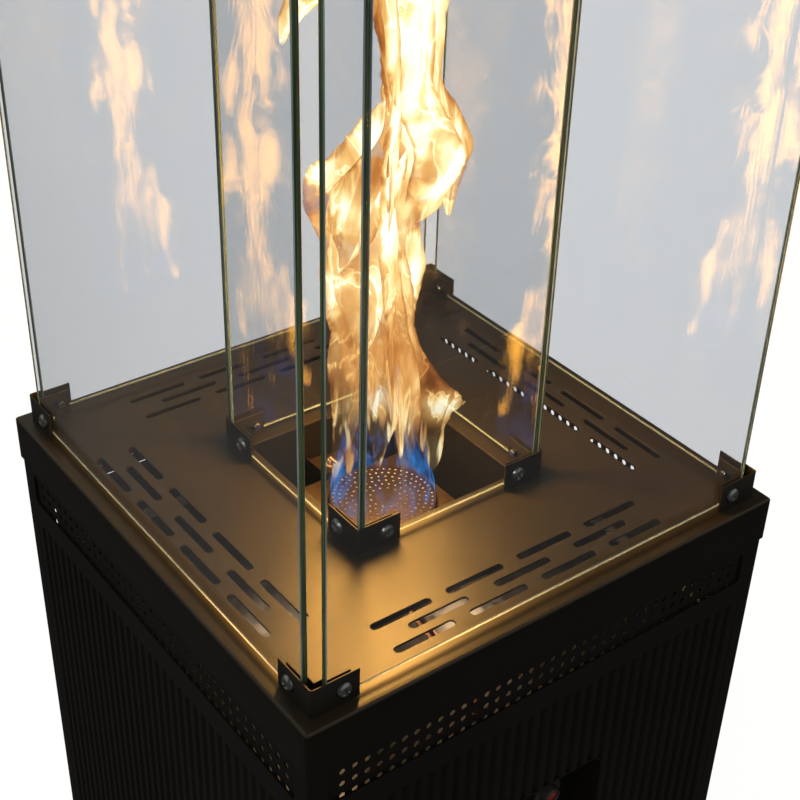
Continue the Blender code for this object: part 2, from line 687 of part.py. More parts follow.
def make_partition():
    """The plate between burner and bottle, with folded-up edges and a hole for the pipe."""
    half, top = INSIDE_HALF, DECK_HEIGHT - PARTITION_DROP
    rear = WALL_HALF - PARTITION_SETBACK
    bm = bmesh.new()
    block(bm, (-half, -half, top - SHEET), (half, rear, top + PARTITION_UPSTAND))
    plate = add_object("partition", bm, ZINC)
    inside = bmesh.new()
    block(inside, (-half + SHEET, -half + SHEET, top),
          (half - SHEET, rear - SHEET, top + PARTITION_UPSTAND + OVERRUN))
    hole = bmesh.new()
    radius = PIPE_RADIUS + PIPE_HOLE_PLAY
    turned(hole, ((0, -OVERRUN), (radius, -OVERRUN), (radius, OVERRUN), (0, OVERRUN)),
           (*pipe_start().to_2d(), top))
    cut(plate, add_object("partition_inside", inside), add_object("partition_hole", hole))


def valve_front():
    return PAN_BACK + THIN_SHEET + FIT


def pipe_start():
    return Vector((KNOB_OFFSET, valve_front() + VALVE_DEPTH / 2, KNOB_HEIGHT + VALVE_HALF_HEIGHT + FIT))


def make_valve():
    """The valve body behind the recess, with a blind bore for the spindle."""
    bm = bmesh.new()
    low = (KNOB_OFFSET - VALVE_HALF_WIDTH, KNOB_HEIGHT - VALVE_HALF_HEIGHT)
    high = (KNOB_OFFSET + VALVE_HALF_WIDTH, KNOB_HEIGHT + VALVE_HALF_HEIGHT)
    prism(bm, rounded_rectangle(low, high, VALVE_EDGE), valve_front(), valve_front() + VALVE_DEPTH, "Y")
    valve = add_object("gas_valve", bm, BRASS)
    bore = bmesh.new()
    radius = SPINDLE_RADIUS + SPINDLE_PLAY
    depth = -(SPINDLE_DEPTH + PUSH_TRAVEL + FIT)
    turned(bore, ((0, depth), (radius, depth), (radius, OVERRUN), (0, OVERRUN)),
           (KNOB_OFFSET, valve_front(), KNOB_HEIGHT), along="-Y")
    cut(valve, add_object("valve_bore", bore))


def make_inlet_nipple():
    """The threaded end that the hose of the bottle screws onto."""
    hexagon, end = -NIPPLE_HEX_LENGTH, -NIPPLE_HEX_LENGTH - NIPPLE_THREAD_LENGTH
    profile = ((0, 0), (NIPPLE_HEX_RADIUS, 0), (NIPPLE_HEX_RADIUS, hexagon),
               (NIPPLE_THREAD_RADIUS, hexagon), (NIPPLE_THREAD_RADIUS, end), (NIPPLE_BORE, end),
               (NIPPLE_BORE, hexagon), (0, hexagon))
    bm = bmesh.new()
    turned(bm, profile, pipe_start() - Vector((0, 0, 2 * VALVE_HALF_HEIGHT + 2 * FIT)), 12)
    add_object("inlet_nipple", bm, BRASS)


def make_gas_pipe():
    """The rigid pipe: up from the valve through the partition, then level to the injector."""
    start = pipe_start()
    corner = Vector((start.x, start.y, DECK_HEIGHT - PIPE_DROP))
    way = -Vector((start.x, start.y, 0)).normalized()
    end = -way * (INJECTOR_RADIUS + FIT) + Vector((0, 0, corner.z))
    points = [start]
    for i in range(PIPE_BEND_STEPS + 1):
        angle = math.pi / 2 * i / PIPE_BEND_STEPS
        side = way * PIPE_BEND * (1 - math.cos(angle))
        rise = Vector((0, 0, PIPE_BEND * (math.sin(angle) - 1)))
        points.append(corner + side + rise)
    points.append(end)
    curve = bpy.data.curves.new("gas_pipe", "CURVE")
    curve.dimensions = "3D"
    curve.bevel_depth = PIPE_RADIUS
    curve.bevel_resolution = 2
    curve.use_fill_caps = True
    spline = curve.splines.new("POLY")
    spline.points.add(len(points) - 1)
    for point, place in zip(spline.points, points):
        point.co = (*place, 1)
    pipe = bpy.data.objects.new("gas_pipe", curve)
    bpy.context.scene.collection.objects.link(pipe)
    curve.materials.append(COPPER.copy())
    curve.materials[0].name = "gas_pipe"


def make_injector():
    """The gas jet, standing on the partition under the mixing tube."""
    low, top = DECK_HEIGHT - PARTITION_DROP + FIT, DECK_HEIGHT - INJECTOR_TOP_DROP
    tip = DECK_HEIGHT - INJECTOR_TIP_DROP
    profile = ((0, low), (INJECTOR_RADIUS, low), (INJECTOR_RADIUS, top), (INJECTOR_TIP_RADIUS, top),
               (INJECTOR_TIP_RADIUS, tip), (0, tip))
    bm = bmesh.new()
    turned(bm, profile, (0, 0, 0), 12)
    add_object("injector", bm, BRASS)


def make_spindle_and_knob():
    """The spindle, which the knob pushes in, and the knob, which turns on it."""
    back = PAN_BACK - KNOB_STANDOFF
    centre = Vector((KNOB_OFFSET, back, KNOB_HEIGHT))
    reach = valve_front() + SPINDLE_DEPTH - back
    bm = bmesh.new()
    profile = ((0, -reach), (SPINDLE_RADIUS, -reach), (SPINDLE_RADIUS, KNOB_SOCKET - FIT),
               (0, KNOB_SOCKET - FIT))
    turned(bm, profile, centre, PIN_SIDES, "-Y")
    spindle = smooth(add_object("valve_spindle", bm, STEEL, origin=centre))
    socket = SPINDLE_RADIUS + SPINDLE_PLAY
    bm = bmesh.new()
    slope = KNOB_RADIUS * 0.9
    profile = ((0, KNOB_SOCKET), (socket, KNOB_SOCKET), (socket, 0), (KNOB_RADIUS, 0),
               (KNOB_RADIUS, KNOB_LENGTH / 4), (slope, KNOB_LENGTH - BITE),
               (slope - BITE, KNOB_LENGTH), (0, KNOB_LENGTH))
    turned(bm, profile, centre, 24, "-Y")
    knob = add_object("control_knob", bm, PLASTIC, origin=centre)
    grip = bmesh.new()
    front = back - KNOB_LENGTH
    block(grip, (KNOB_OFFSET - KNOB_GRIP / 2, front - KNOB_GRIP_RISE, KNOB_HEIGHT - slope + SHEET),
          (KNOB_OFFSET + KNOB_GRIP / 2, front + SHEET, KNOB_HEIGHT + slope - SHEET))
    fuse(smooth(knob), add_object("knob_grip", grip))
    attach(knob, spindle)


def make_igniter():
    """The igniter's sleeve, held in the recess's back, and its sprung button."""
    centre = Vector((BUTTON_OFFSET, PAN_BACK, KNOB_HEIGHT))
    bore = BUTTON_RADIUS + BUTTON_PLAY
    outer = bore + IGNITER_WALL
    seat = BUTTON_LENGTH - BUTTON_STICK_OUT + BUTTON_TRAVEL + FIT
    bm = bmesh.new()
    profile = ((0, -IGNITER_LENGTH), (outer, -IGNITER_LENGTH), (outer, FIT),
               (outer + IGNITER_FLANGE, FIT), (outer + IGNITER_FLANGE, IGNITER_FLANGE + FIT),
               (bore, IGNITER_FLANGE + FIT), (bore, -seat), (0, -seat))
    turned(bm, profile, centre, along="-Y")
    smooth(add_object("igniter_body", bm, PLASTIC))
    bm = bmesh.new()
    profile = ((0, BUTTON_STICK_OUT - BUTTON_LENGTH), (BUTTON_RADIUS, BUTTON_STICK_OUT - BUTTON_LENGTH),
               (BUTTON_RADIUS, BUTTON_STICK_OUT - BITE), (BUTTON_RADIUS - BITE, BUTTON_STICK_OUT),
               (0, BUTTON_STICK_OUT))
    turned(bm, profile, centre, along="-Y")
    smooth(add_object("igniter_button", bm, RED_PLASTIC, origin=centre))


def make_tilt_switch():
    top = DECK_HEIGHT - PARTITION_DROP - SHEET - FIT
    low = Vector((*(TILT_SWITCH_PLACE - TILT_SWITCH_SIZE.to_2d() / 2), top - TILT_SWITCH_SIZE.z))
    bm = bmesh.new()
    block(bm, low, low + TILT_SWITCH_SIZE)
    add_object("tilt_switch", bm, PLASTIC)


def make_well():
    """The square box under the deck's opening, hung by a lip, with a hole for the mixing tube."""
    inner = OPENING_HALF + WELL_PLAY
    outer = inner + THIN_SHEET
    top = DECK_HEIGHT - SHEET - FIT
    bottom = DECK_HEIGHT - WELL_DEPTH - THIN_SHEET
    bm = bmesh.new()
    block(bm, (-outer - WELL_LIP,) * 2 + (top - THIN_SHEET,), (outer + WELL_LIP,) * 2 + (top,))
    well = add_object("burner_well", bm, PAINT_DARK)
    body = bmesh.new()
    block(body, (-outer, -outer, bottom), (outer, outer, top - THIN_SHEET / 2))
    hollow = bmesh.new()
    block(hollow, (-inner, -inner, bottom + THIN_SHEET), (inner, inner, top + OVERRUN))
    hole = bmesh.new()
    radius = NECK_RADIUS + NECK_PLAY
    turned(hole, ((0, -OVERRUN), (radius, -OVERRUN), (radius, OVERRUN), (0, OVERRUN)), (0, 0, bottom))
    fuse(well, add_object("well_body", body))
    cut(well, add_object("well_hollow", hollow), add_object("well_hole", hole))


def make_tray():
    """The square plate round the burner, on four folded legs that stand in the well."""
    top = DECK_HEIGHT - TRAY_DROP
    bottom = DECK_HEIGHT - WELL_DEPTH + FIT
    bm = bmesh.new()
    block(bm, (-TRAY_HALF, -TRAY_HALF, top - SHEET), (TRAY_HALF, TRAY_HALF, top))
    tray = add_object("burner_tray", bm, STEEL)
    legs = bmesh.new()
    for x in (-1, 1):
        for y in (-1, 1):
            near, far = TRAY_HALF - TRAY_LEG, TRAY_HALF - BITE
            xs = sorted((x * near, x * far))
            ys = sorted((y * (far - SHEET), y * far))
            block(legs, (xs[0], ys[0], bottom), (xs[1], ys[1], top - SHEET / 2))
    hole = bmesh.new()
    radius = NECK_RADIUS + NECK_PLAY
    turned(hole, ((0, -OVERRUN), (radius, -OVERRUN), (radius, OVERRUN), (0, OVERRUN)), (0, 0, top))
    fuse(tray, add_object("tray_legs", legs))
    cut(tray, add_object("tray_hole", hole))


def make_burner():
    """The hollow round burner head: a drum with a ring of ports and a neck that takes the mixture."""
    top = DECK_HEIGHT - BURNER_DROP
    low = top - BURNER_DRUM
    end = DECK_HEIGHT - NECK_DROP
    bore = NECK_RADIUS - NECK_WALL
    wall = NECK_WALL
    profile = ((0, top), (BURNER_RADIUS - wall / 2, top), (BURNER_RADIUS, top - wall / 2),
               (BURNER_RADIUS, low), (NECK_RADIUS, low), (NECK_RADIUS, end), (bore, end),
               (bore, low + wall), (BURNER_RADIUS - wall, low + wall),
               (BURNER_RADIUS - wall, top - wall), (0, top - wall))
    bm = bmesh.new()
    turned(bm, profile, (0, 0, 0), BURNER_SIDES)
    burner = add_object("burner_head", bm, STEEL)
    ports = bmesh.new()
    for i in range(PORT_COUNT):
        angle = 2 * math.pi * i / PORT_COUNT
        reach = BURNER_RADIUS * PORT_RING_SHARE
        turned(ports, ((0, top - wall * 2 / 3 - wall), (PORT_RADIUS, top - wall * 2 / 3 - wall),
                       (PORT_RADIUS, top + wall), (0, top + wall)),
               (reach * math.cos(angle), reach * math.sin(angle), 0), 6)
    cut(smooth(burner), add_object("burner_ports", ports))


def make_venturi():
    """The mixing tube under the burner's neck, waisted, with a flared mouth over the injector."""
    top, low = DECK_HEIGHT - NECK_DROP - FIT, DECK_HEIGHT - VENTURI_DROP
    waist = NECK_RADIUS * VENTURI_WAIST_SHARE
    middle = (top + low) / 2
    outer = ((NECK_RADIUS, top), (waist, middle), (waist + VENTURI_BELL / 2, low + VENTURI_BELL),
             (waist + VENTURI_BELL, low))
    inner = [(radius - NECK_WALL, height) for radius, height in reversed(outer)]
    bm = bmesh.new()
    turned(bm, list(outer) + inner, (0, 0, 0), TURNED_SIDES, closed=True)
    smooth(add_object("mixing_tube", bm, STEEL))


def pilot_point(shares):
    return PILOT_LOW + Vector((PILOT_SIZE.x * shares[0], PILOT_SIZE.y * shares[1]))


def make_pilot_bracket():
    """The folded bracket by the well's rear wall, with holes for the electrode and the thermocouple."""
    low, high = PILOT_LOW, PILOT_LOW + PILOT_SIZE
    top = DECK_HEIGHT - PILOT_DROP
    bm = bmesh.new()
    block(bm, (*low, top - THIN_SHEET), (*high, top))
    bracket = add_object("pilot_bracket", bm, STEEL)
    folds = bmesh.new()
    block(folds, (low.x + BITE, high.y - THIN_SHEET - BITE, DECK_HEIGHT - WELL_DEPTH + FIT),
          (high.x - BITE, high.y - BITE, top - THIN_SHEET / 2))
    flange = bmesh.new()
    block(flange, (low.x + BITE / 2, low.y + BITE / 2, top - PILOT_FLANGE),
          (low.x + BITE / 2 + THIN_SHEET, high.y - THIN_SHEET / 2, top + PILOT_FLANGE_RISE))
    holes = bmesh.new()
    for shares, radius in ((ELECTRODE_PLACE_SHARES, ELECTRODE_RADIUS),
                           (THERMOCOUPLE_PLACE_SHARES, THERMOCOUPLE_RADIUS)):
        reach = radius + PILOT_HOLE_PLAY
        turned(holes, ((0, -OVERRUN), (reach, -OVERRUN), (reach, OVERRUN), (0, OVERRUN)),
               (*pilot_point(shares), top))
    fuse(bracket, add_object("pilot_leg", folds), add_object("pilot_flange", flange))
    cut(bracket, add_object("pilot_holes", holes))


def make_electrode():
    """A ceramic rod with a collar on the bracket, and a wire that reaches to the burner's rim."""
    top = DECK_HEIGHT - PILOT_DROP
    collar = ELECTRODE_RADIUS + ELECTRODE_COLLAR
    seat, rise = FIT, ELECTRODE_RISE
    profile = ((0, -ELECTRODE_STEM), (ELECTRODE_RADIUS, -ELECTRODE_STEM), (ELECTRODE_RADIUS, seat),
               (collar, seat), (collar, seat + ELECTRODE_COLLAR),
               (ELECTRODE_RADIUS, seat + ELECTRODE_COLLAR), (ELECTRODE_RADIUS * 0.8, rise), (0, rise))
    place = pilot_point(ELECTRODE_PLACE_SHARES)
    bm = bmesh.new()
    turned(bm, profile, (*place, top), 10)
    electrode = smooth(add_object("spark_electrode", bm, CERAMIC))
    wire = bmesh.new()
    half = ELECTRODE_WIRE / 2
    block(wire, (place.x - half, place.y - ELECTRODE_REACH, top + rise - BITE),
          (place.x + half, place.y + half, top + rise + ELECTRODE_WIRE))
    fuse(electrode, add_object("electrode_wire", wire))


def make_thermocouple():
    """The round-ended probe that holds the valve open while it is hot."""
    top = DECK_HEIGHT - PILOT_DROP
    collar = THERMOCOUPLE_RADIUS + THERMOCOUPLE_COLLAR
    seat, rise = FIT, THERMOCOUPLE_RISE
    radius = THERMOCOUPLE_RADIUS
    profile = ((0, -THERMOCOUPLE_STEM), (radius, -THERMOCOUPLE_STEM), (radius, seat), (collar, seat),
               (collar, seat + THERMOCOUPLE_COLLAR), (radius, seat + THERMOCOUPLE_COLLAR),
               (radius, rise - radius), (radius * 0.7, rise - radius * 0.3), (0, rise))
    bm = bmesh.new()
    turned(bm, profile, (*pilot_point(THERMOCOUPLE_PLACE_SHARES), top), 10)
    smooth(add_object("thermocouple", bm, STEEL))


def make_glass(prefix, half, start, end):
    """Four upright panels in a square, whose two ends stop short of its corners by start and end."""
    for side, turn in SIDES.items():
        bm = bmesh.new()
        block(bm, (start - half, -half, GLASS_BOTTOM), (half - end, -half + GLASS, GLASS_TOP))
        add_object(f"{prefix}_glass_{side}", bm, GLAZING, turn)


def angle_outline(outer, thickness, wing):
    """An L in plan, whose corner points to -X -Y."""
    inner = -outer + thickness
    end = -outer + wing
    return [(-outer, -outer), (end, -outer), (end, inner), (inner, inner), (inner, end), (-outer, end)]


def bracket_shapes(bm, half, seat, root, tip, lip_tip):
    """An angle outside the glass, a thin one inside it and the seat that joins them under its edge.

    The seat ends at the height seat, short of the glass, and the two angles run from the height root
    to tip and lip_tip. They are prisms that overlap, and are joined into one body afterwards.
    """
    outer = half + FIT + SHEET
    lip = half - GLASS - FIT
    inner = lip - THIN_SHEET
    shift = outer - lip
    prism(bm["angle"], angle_outline(outer, SHEET, BRACKET_WING), *sorted((root, tip)))
    prism(bm["lip"], angle_outline(lip, THIN_SHEET, BRACKET_LIP_WING - shift), *sorted((root, lip_tip)))
    width = outer - inner
    prism(bm["seat"], angle_outline(outer - BITE / 3, width - 2 * BITE / 3, BRACKET_LIP_WING - BITE),
          *sorted((root + math.copysign(BITE / 3, tip - root), seat)))


def make_brackets(prefix, half):
    """The four corner brackets on the deck."""
    root = DECK_HEIGHT + FIT
    for corner, turn in CORNERS.items():
        name = f"{prefix}_bracket_{corner}"
        shapes = {part: bmesh.new() for part in ("angle", "lip", "seat")}
        bracket_shapes(shapes, half, GLASS_BOTTOM - FIT, root, DECK_HEIGHT + BRACKET_HEIGHT,
                       DECK_HEIGHT + BRACKET_LIP_HEIGHT)
        bracket = add_object(name, shapes["angle"], PAINT, turn)
        fuse(bracket, add_object(name + "_seat", shapes["seat"], turn=turn),
             add_object(name + "_lip", shapes["lip"], turn=turn))


def crown_brackets():
    """The same brackets, hanging from the crown at every corner of both squares of glass."""
    fillers = []
    for part in ("angle", "seat", "lip"):
        bm = bmesh.new()
        for half in (GUARD_HALF, CHIMNEY_HALF):
            for turn in CORNERS.values():
                shapes = {name: bmesh.new() for name in ("angle", "lip", "seat")}
                bracket_shapes(shapes, half, GLASS_TOP + FIT, CROWN_BOTTOM + SHEET / 2,
                               GLASS_TOP + GLASS_LIFT - BRACKET_HEIGHT,
                               GLASS_TOP + GLASS_LIFT - BRACKET_LIP_HEIGHT)
                copy = bpy.data.meshes.new("copy")
                shapes[part].transform(Matrix.Rotation(math.radians(turn), 4, "Z"))
                shapes[part].to_mesh(copy)
                bm.from_mesh(copy)
                bpy.data.meshes.remove(copy)
                for shape in shapes.values():
                    shape.free()
        fillers.append(add_object("crown_bracket_" + part, bm))
    return fillers


def make_crown():
    """The crown tray on the glass, with an opening for the hot gas and slots round it."""
    bm = bmesh.new()
    block(bm, (-DECK_HALF, -DECK_HALF, CROWN_BOTTOM), (DECK_HALF, DECK_HALF, CROWN_BOTTOM + CROWN_SKIRT))
    tray = add_object("crown_tray", bm, PAINT)
    inside = bmesh.new()
    half = DECK_HALF - SHEET
    block(inside, (-half, -half, CROWN_BOTTOM + SHEET),
          (half, half, CROWN_BOTTOM + CROWN_SKIRT + OVERRUN))
    opening = bmesh.new()
    low, high = CROWN_BOTTOM - OVERRUN, CROWN_BOTTOM + OVERRUN
    square = rounded_rectangle((-OPENING_HALF,) * 2, (OPENING_HALF,) * 2, OPENING_CORNER)
    prism(opening, square, low, high)
    rows = ((SLOT_MIDDLE_ROW, SLOT_MIDDLE_COUNT, SLOT_MIDDLE_PITCH),)
    cut(tray, add_object("crown_inside", inside), add_object("crown_opening", opening),
        slot_cutter("crown_slots", rows, low, high))
    fuse(tray, *crown_brackets())


def make_cover():
    """The raised cover, with a folded-down edge and a post at each corner."""
    bm = bmesh.new()
    block(bm, (-DECK_HALF, -DECK_HALF, COVER_BOTTOM), (DECK_HALF, DECK_HALF, COVER_TOP))
    folds = [e for e in bm.edges if max(v.co.z for v in e.verts) == max(v.co.z for v in bm.verts)]
    bmesh.ops.bevel(bm, geom=folds, offset=DECK_EDGE_RADIUS, segments=2, profile=0.5, affect="EDGES")
    cover = add_object("crown_cover", bm, PAINT)
    inside = bmesh.new()
    half = DECK_HALF - SHEET
    block(inside, (-half, -half, COVER_BOTTOM - OVERRUN), (half, half, COVER_TOP - SHEET))
    posts = bmesh.new()
    near = DECK_HALF - POST_INSET
    far = near - POST
    for x in (-1, 1):
        for y in (-1, 1):
            xs, ys = sorted((x * near, x * far)), sorted((y * near, y * far))
            block(posts, (xs[0], ys[0], CROWN_BOTTOM + SHEET + FIT), (xs[1], ys[1], COVER_TOP - SHEET / 2))
    cut(cover, add_object("cover_inside", inside))
    fuse(cover, add_object("cover_posts", posts))


def make_baffle():
    """The heat baffle over the chimney: a square plate on four folded legs."""
    low = CROWN_BOTTOM + SHEET + FIT
    top = low + BAFFLE_RISE
    bm = bmesh.new()
    block(bm, (-BAFFLE_HALF, -BAFFLE_HALF, top - SHEET), (BAFFLE_HALF, BAFFLE_HALF, top))
    baffle = add_object("heat_baffle", bm, STEEL)
    legs = bmesh.new()
    for x in (-1, 1):
        for y in (-1, 1):
            near, far = BAFFLE_HALF - BAFFLE_LEG, BAFFLE_HALF - BITE
            xs, ys = sorted((x * near, x * far)), sorted((y * (far - SHEET), y * far))
            block(legs, (xs[0], ys[0], low), (xs[1], ys[1], top - SHEET / 2))
    fuse(baffle, add_object("baffle_legs", legs))


clear_scene()
PAINT = finish("satin_black", (0.035, 0.031, 0.028), 0.42)
PAINT_DARK = finish("textured_black", (0.018, 0.018, 0.018), 0.55)
STEEL = finish("steel", (0.42, 0.42, 0.43), 0.35, 1.0)
ZINC = finish("zinc_plate", (0.45, 0.45, 0.44), 0.45, 1.0)
BRASS = finish("brass", (0.62, 0.47, 0.22), 0.35, 1.0)
COPPER = finish("copper", (0.68, 0.34, 0.20), 0.35, 1.0)
PLASTIC = finish("black_plastic", (0.02, 0.02, 0.02), 0.5)
RED_PLASTIC = finish("red_plastic", (0.45, 0.03, 0.02), 0.4)
RUBBER = finish("rubber", (0.015, 0.015, 0.015), 0.8)
CERAMIC = finish("ceramic", (0.85, 0.83, 0.78), 0.4)
GLAZING = finish("glass", (0.88, 0.95, 0.92), 0.02, 0.0, 1.0)

make_deck()
make_front_wall()
make_side_wall("left")
make_side_wall("right")
make_rear_frame()
make_door()
make_door_pull()
make_pivot_pins()
make_door_catch()
for wall_side in SIDES:
    make_vent_strip(wall_side)
make_floor()
make_feet()
make_partition()
make_control_pan()
make_valve()
make_inlet_nipple()
make_gas_pipe()
make_injector()
make_spindle_and_knob()
make_igniter()
make_tilt_switch()
make_well()
make_tray()
make_burner()
make_venturi()
make_pilot_bracket()
make_electrode()
make_thermocouple()
make_glass("guard", GUARD_HALF, GUARD_CORNER_GAP, GUARD_CORNER_GAP)
make_glass("chimney", CHIMNEY_HALF, GLASS + FIT, 0)
make_brackets("guard", GUARD_HALF)
make_brackets("chimney", CHIMNEY_HALF)
make_crown()
make_cover()
make_baffle()
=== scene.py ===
"""Looks of a square glass tower heater for a terrace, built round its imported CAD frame.

A fluted steel cabinet carries a slotted deck. A burner sits in a well in the deck, inside a
chimney of four glass panels, and four larger panels stand round it as a guard, under a crown.
Lengths are in metres, +Z is up and the front faces -Y.
"""

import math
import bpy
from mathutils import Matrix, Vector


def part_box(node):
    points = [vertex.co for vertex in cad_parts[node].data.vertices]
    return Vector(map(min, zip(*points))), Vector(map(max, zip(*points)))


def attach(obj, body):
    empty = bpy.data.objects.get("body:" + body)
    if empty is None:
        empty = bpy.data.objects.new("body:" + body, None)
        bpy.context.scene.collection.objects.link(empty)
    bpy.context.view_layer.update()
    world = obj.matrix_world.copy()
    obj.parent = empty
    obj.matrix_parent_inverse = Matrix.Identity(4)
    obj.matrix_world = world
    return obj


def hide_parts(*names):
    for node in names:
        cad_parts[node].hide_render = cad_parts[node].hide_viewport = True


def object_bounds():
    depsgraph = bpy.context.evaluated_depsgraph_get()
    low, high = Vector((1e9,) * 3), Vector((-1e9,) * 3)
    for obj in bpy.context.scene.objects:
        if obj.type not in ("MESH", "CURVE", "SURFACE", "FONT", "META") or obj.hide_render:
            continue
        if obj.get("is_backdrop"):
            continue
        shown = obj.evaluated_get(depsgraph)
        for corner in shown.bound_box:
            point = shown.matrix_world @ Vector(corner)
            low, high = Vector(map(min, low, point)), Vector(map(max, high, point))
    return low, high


bl_info = {
    "name": "Glass tower heater",
    "version": (1, 0, 0),
    "blender": (4, 5, 0),
    "location": "3D View > Sidebar > Heater",
    "description": "Builds the deck, glass, burner, flame and crown of a glass tower heater",
    "category": "Add Mesh",
}

import bmesh
import bpy
import numpy as np
from bpy.props import FloatProperty, FloatVectorProperty, PointerProperty
from mathutils import Matrix, Vector

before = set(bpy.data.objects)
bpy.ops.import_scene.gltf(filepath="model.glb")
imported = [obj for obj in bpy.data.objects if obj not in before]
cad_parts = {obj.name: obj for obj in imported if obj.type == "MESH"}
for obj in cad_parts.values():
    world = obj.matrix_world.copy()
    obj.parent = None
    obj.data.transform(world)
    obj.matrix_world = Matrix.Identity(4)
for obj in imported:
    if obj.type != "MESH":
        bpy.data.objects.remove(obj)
CAD_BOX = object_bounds()

# how near points are one, the angle from which a folded sheet's edges are sharp, and plain values
MERGE = 1e-6
SHEET_SHARP = 28.0
WHITE, BLACK = (1.0, 1.0, 1.0), (0.0, 0.0, 0.0)
EVEN = (1.0, 1.0, 1.0)
# half the square round the opening, and how far the edges of slots, opening and holes are softened
FIELD = 0.080
SLOT_SOFT, OPENING_SOFT, HOLE_SOFT = 0.00035, 0.0004, 0.0002
# the rings of a small hole's cell: all but the second
FEWER = [0, 2, 3, 4]
# from the deck's top to the upper border of the vent holes' cells
VENT_DROP = 0.0475
# how deep posts and brackets go into a sheet, as a share of it, and the corners of small blocks
SUNK, BLOCK_CORNER = 0.6, 0.0012
SIDES = {"front": 0, "right": 90, "rear": 180, "left": 270}
CORNERS = {"front_left": 0, "front_right": 90, "rear_right": 180, "rear_left": 270}
DECK_LOW, DECK_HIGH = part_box("deck")
STRIP_LOW, STRIP_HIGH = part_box("front_vent_strip")
GUARD_LOW, GUARD_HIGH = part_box("guard_glass_front")
CHIMNEY_LOW, CHIMNEY_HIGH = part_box("chimney_glass_front")
GUARD_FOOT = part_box("guard_bracket_front_left")
CHIMNEY_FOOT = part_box("chimney_bracket_front_left")
BURNER_LOW, BURNER_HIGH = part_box("burner_head")


def length_property(name, description, default, precision=4):
    """A length in metres among an operator's sizes."""
    return FloatProperty(name=name, description=description, default=default, unit="LENGTH",
                         precision=precision)


def angle_property(name, description, degrees):
    return FloatProperty(name=name, description=description, default=math.radians(degrees),
                         subtype="ANGLE", unit="ROTATION")


def colour_property(name, description, default):
    return FloatVectorProperty(name=name, description=description, default=default,
                               subtype="COLOR", min=0, max=1)


def make_mesh(name, points, faces, materials):
    mesh = bpy.data.meshes.new(name)
    mesh.from_pydata(points, [], faces)
    for material in materials:
        mesh.materials.append(material)
    return mesh


def add_object(name, data):
    """A new object at the origin, linked into the scene."""
    obj = bpy.data.objects.new(name, data)
    bpy.context.scene.collection.objects.link(obj)
    return obj


# materials

class Wire:
    """A value on its way through a tree's nodes. Arithmetic on it adds the Math nodes."""

    def __init__(self, owner, output):
        self.owner, self.output = owner, output

    def maths(self, operation, *values):
        return self.owner.node("ShaderNodeMath", {"operation": operation}, dict(enumerate(values)))

    def __add__(self, other):
        return self.maths("ADD", self, other)

    def __sub__(self, other):
        return self.maths("SUBTRACT", self, other)

    def __rsub__(self, other):
        return self.maths("SUBTRACT", other, self)

    def __mul__(self, other):
        return self.maths("MULTIPLY", self, other)

    def __abs__(self):
        return self.maths("ABSOLUTE", self)

    __radd__, __rmul__ = __add__, __mul__

    def step(self, low, high):
        """0 below low, 1 above high and a smooth rise between; falls where low is above high."""
        ends = {1: min(low, high), 2: max(low, high), 3: float(low > high), 4: float(low < high)}
        return self.owner.node("ShaderNodeMapRange", {"interpolation_type": "SMOOTHSTEP"},
                               {0: self, **ends})

    def outlet(self, name):
        """Another output of the node that this value comes from."""
        return Wire(self.owner, self.output.node.outputs[name])

    def most(self, other):
        return self.maths("MAXIMUM", self, other)

    def least(self, other):
        return self.maths("MINIMUM", self, other)


class Tree:
    """Nodes being written, of a material, a lamp or the world."""

    def __init__(self, tree):
        self.tree = tree

    def mix(self, share, first, second):
        """The first colour where share is 0, going over to the second where it is 1."""
        first, second = ((*c, 1.0) if isinstance(c, tuple) else c for c in (first, second))
        return self.node("ShaderNodeMix", {"data_type": "RGBA"}, {0: share, 6: first, 7: second}, 2)

    def node(self, kind, settings=(), inputs=(), output=0):
        """Adds any node: first its settings, then the values or links of its sockets."""
        node = self.tree.nodes.new(kind)
        for key, value in dict(settings).items():
            if key == "stops":
                ramp = node.color_ramp
                while len(ramp.elements) < len(value):
                    ramp.elements.new(0.5)
                for element, (position, colour) in zip(ramp.elements, value):
                    element.position, element.color = position, (*colour, 1.0)
            else:
                setattr(node, key, value)
        self.feed(node, inputs)
        return Wire(self, node.outputs[output])

    def feed(self, node, inputs):
        for key, value in dict(inputs).items():
            if isinstance(value, Wire):
                self.tree.links.new(value.output, node.inputs[key])
            else:
                node.inputs[key].default_value = value


class Finish(Tree):
    """A material being written, with its Principled shader and its output."""

    def __init__(self, name, **sockets):
        self.material = bpy.data.materials.new(name)
        self.material.use_nodes = True
        super().__init__(self.material.node_tree)
        self.shader = self.tree.nodes["Principled BSDF"]
        self.end = self.tree.nodes["Material Output"]
        self.set(**sockets)

    def set(self, **sockets):
        """Feeds the Principled shader; base_color is the socket Base Color, and so on."""
        for key, value in sockets.items():
            name = key.replace("_", " ").title().replace("Ior", "IOR")
            if "Color" in name and isinstance(value, tuple):
                value = (*value, 1.0)
            self.feed(self.shader, {name: value})

    def cover(self, share, shader):
        """Mixes another shader over the Principled one."""
        both = self.node("ShaderNodeMixShader", inputs={
            0: share, 1: Wire(self, self.shader.outputs[0]), 2: shader})
        self.feed(self.end, {0: both})

    def place(self, stretch):
        """Object coordinates, in metres, stretched along each axis."""
        place = self.node("ShaderNodeTexCoord", output=3)
        return self.node("ShaderNodeMapping", inputs={0: place, 3: stretch})

    def noise(self, scale, detail=2.0, roughness=0.5, at=None, stretch=EVEN, warp=0.0):
        return self.node("ShaderNodeTexNoise", inputs={
            "Vector": at or self.place(stretch), "Scale": scale, "Detail": detail,
            "Roughness": roughness, "Distortion": warp})

    def bump(self, height, strength, distance):
        return self.node("ShaderNodeBump", inputs={
            "Height": height, "Strength": strength, "Distance": distance})


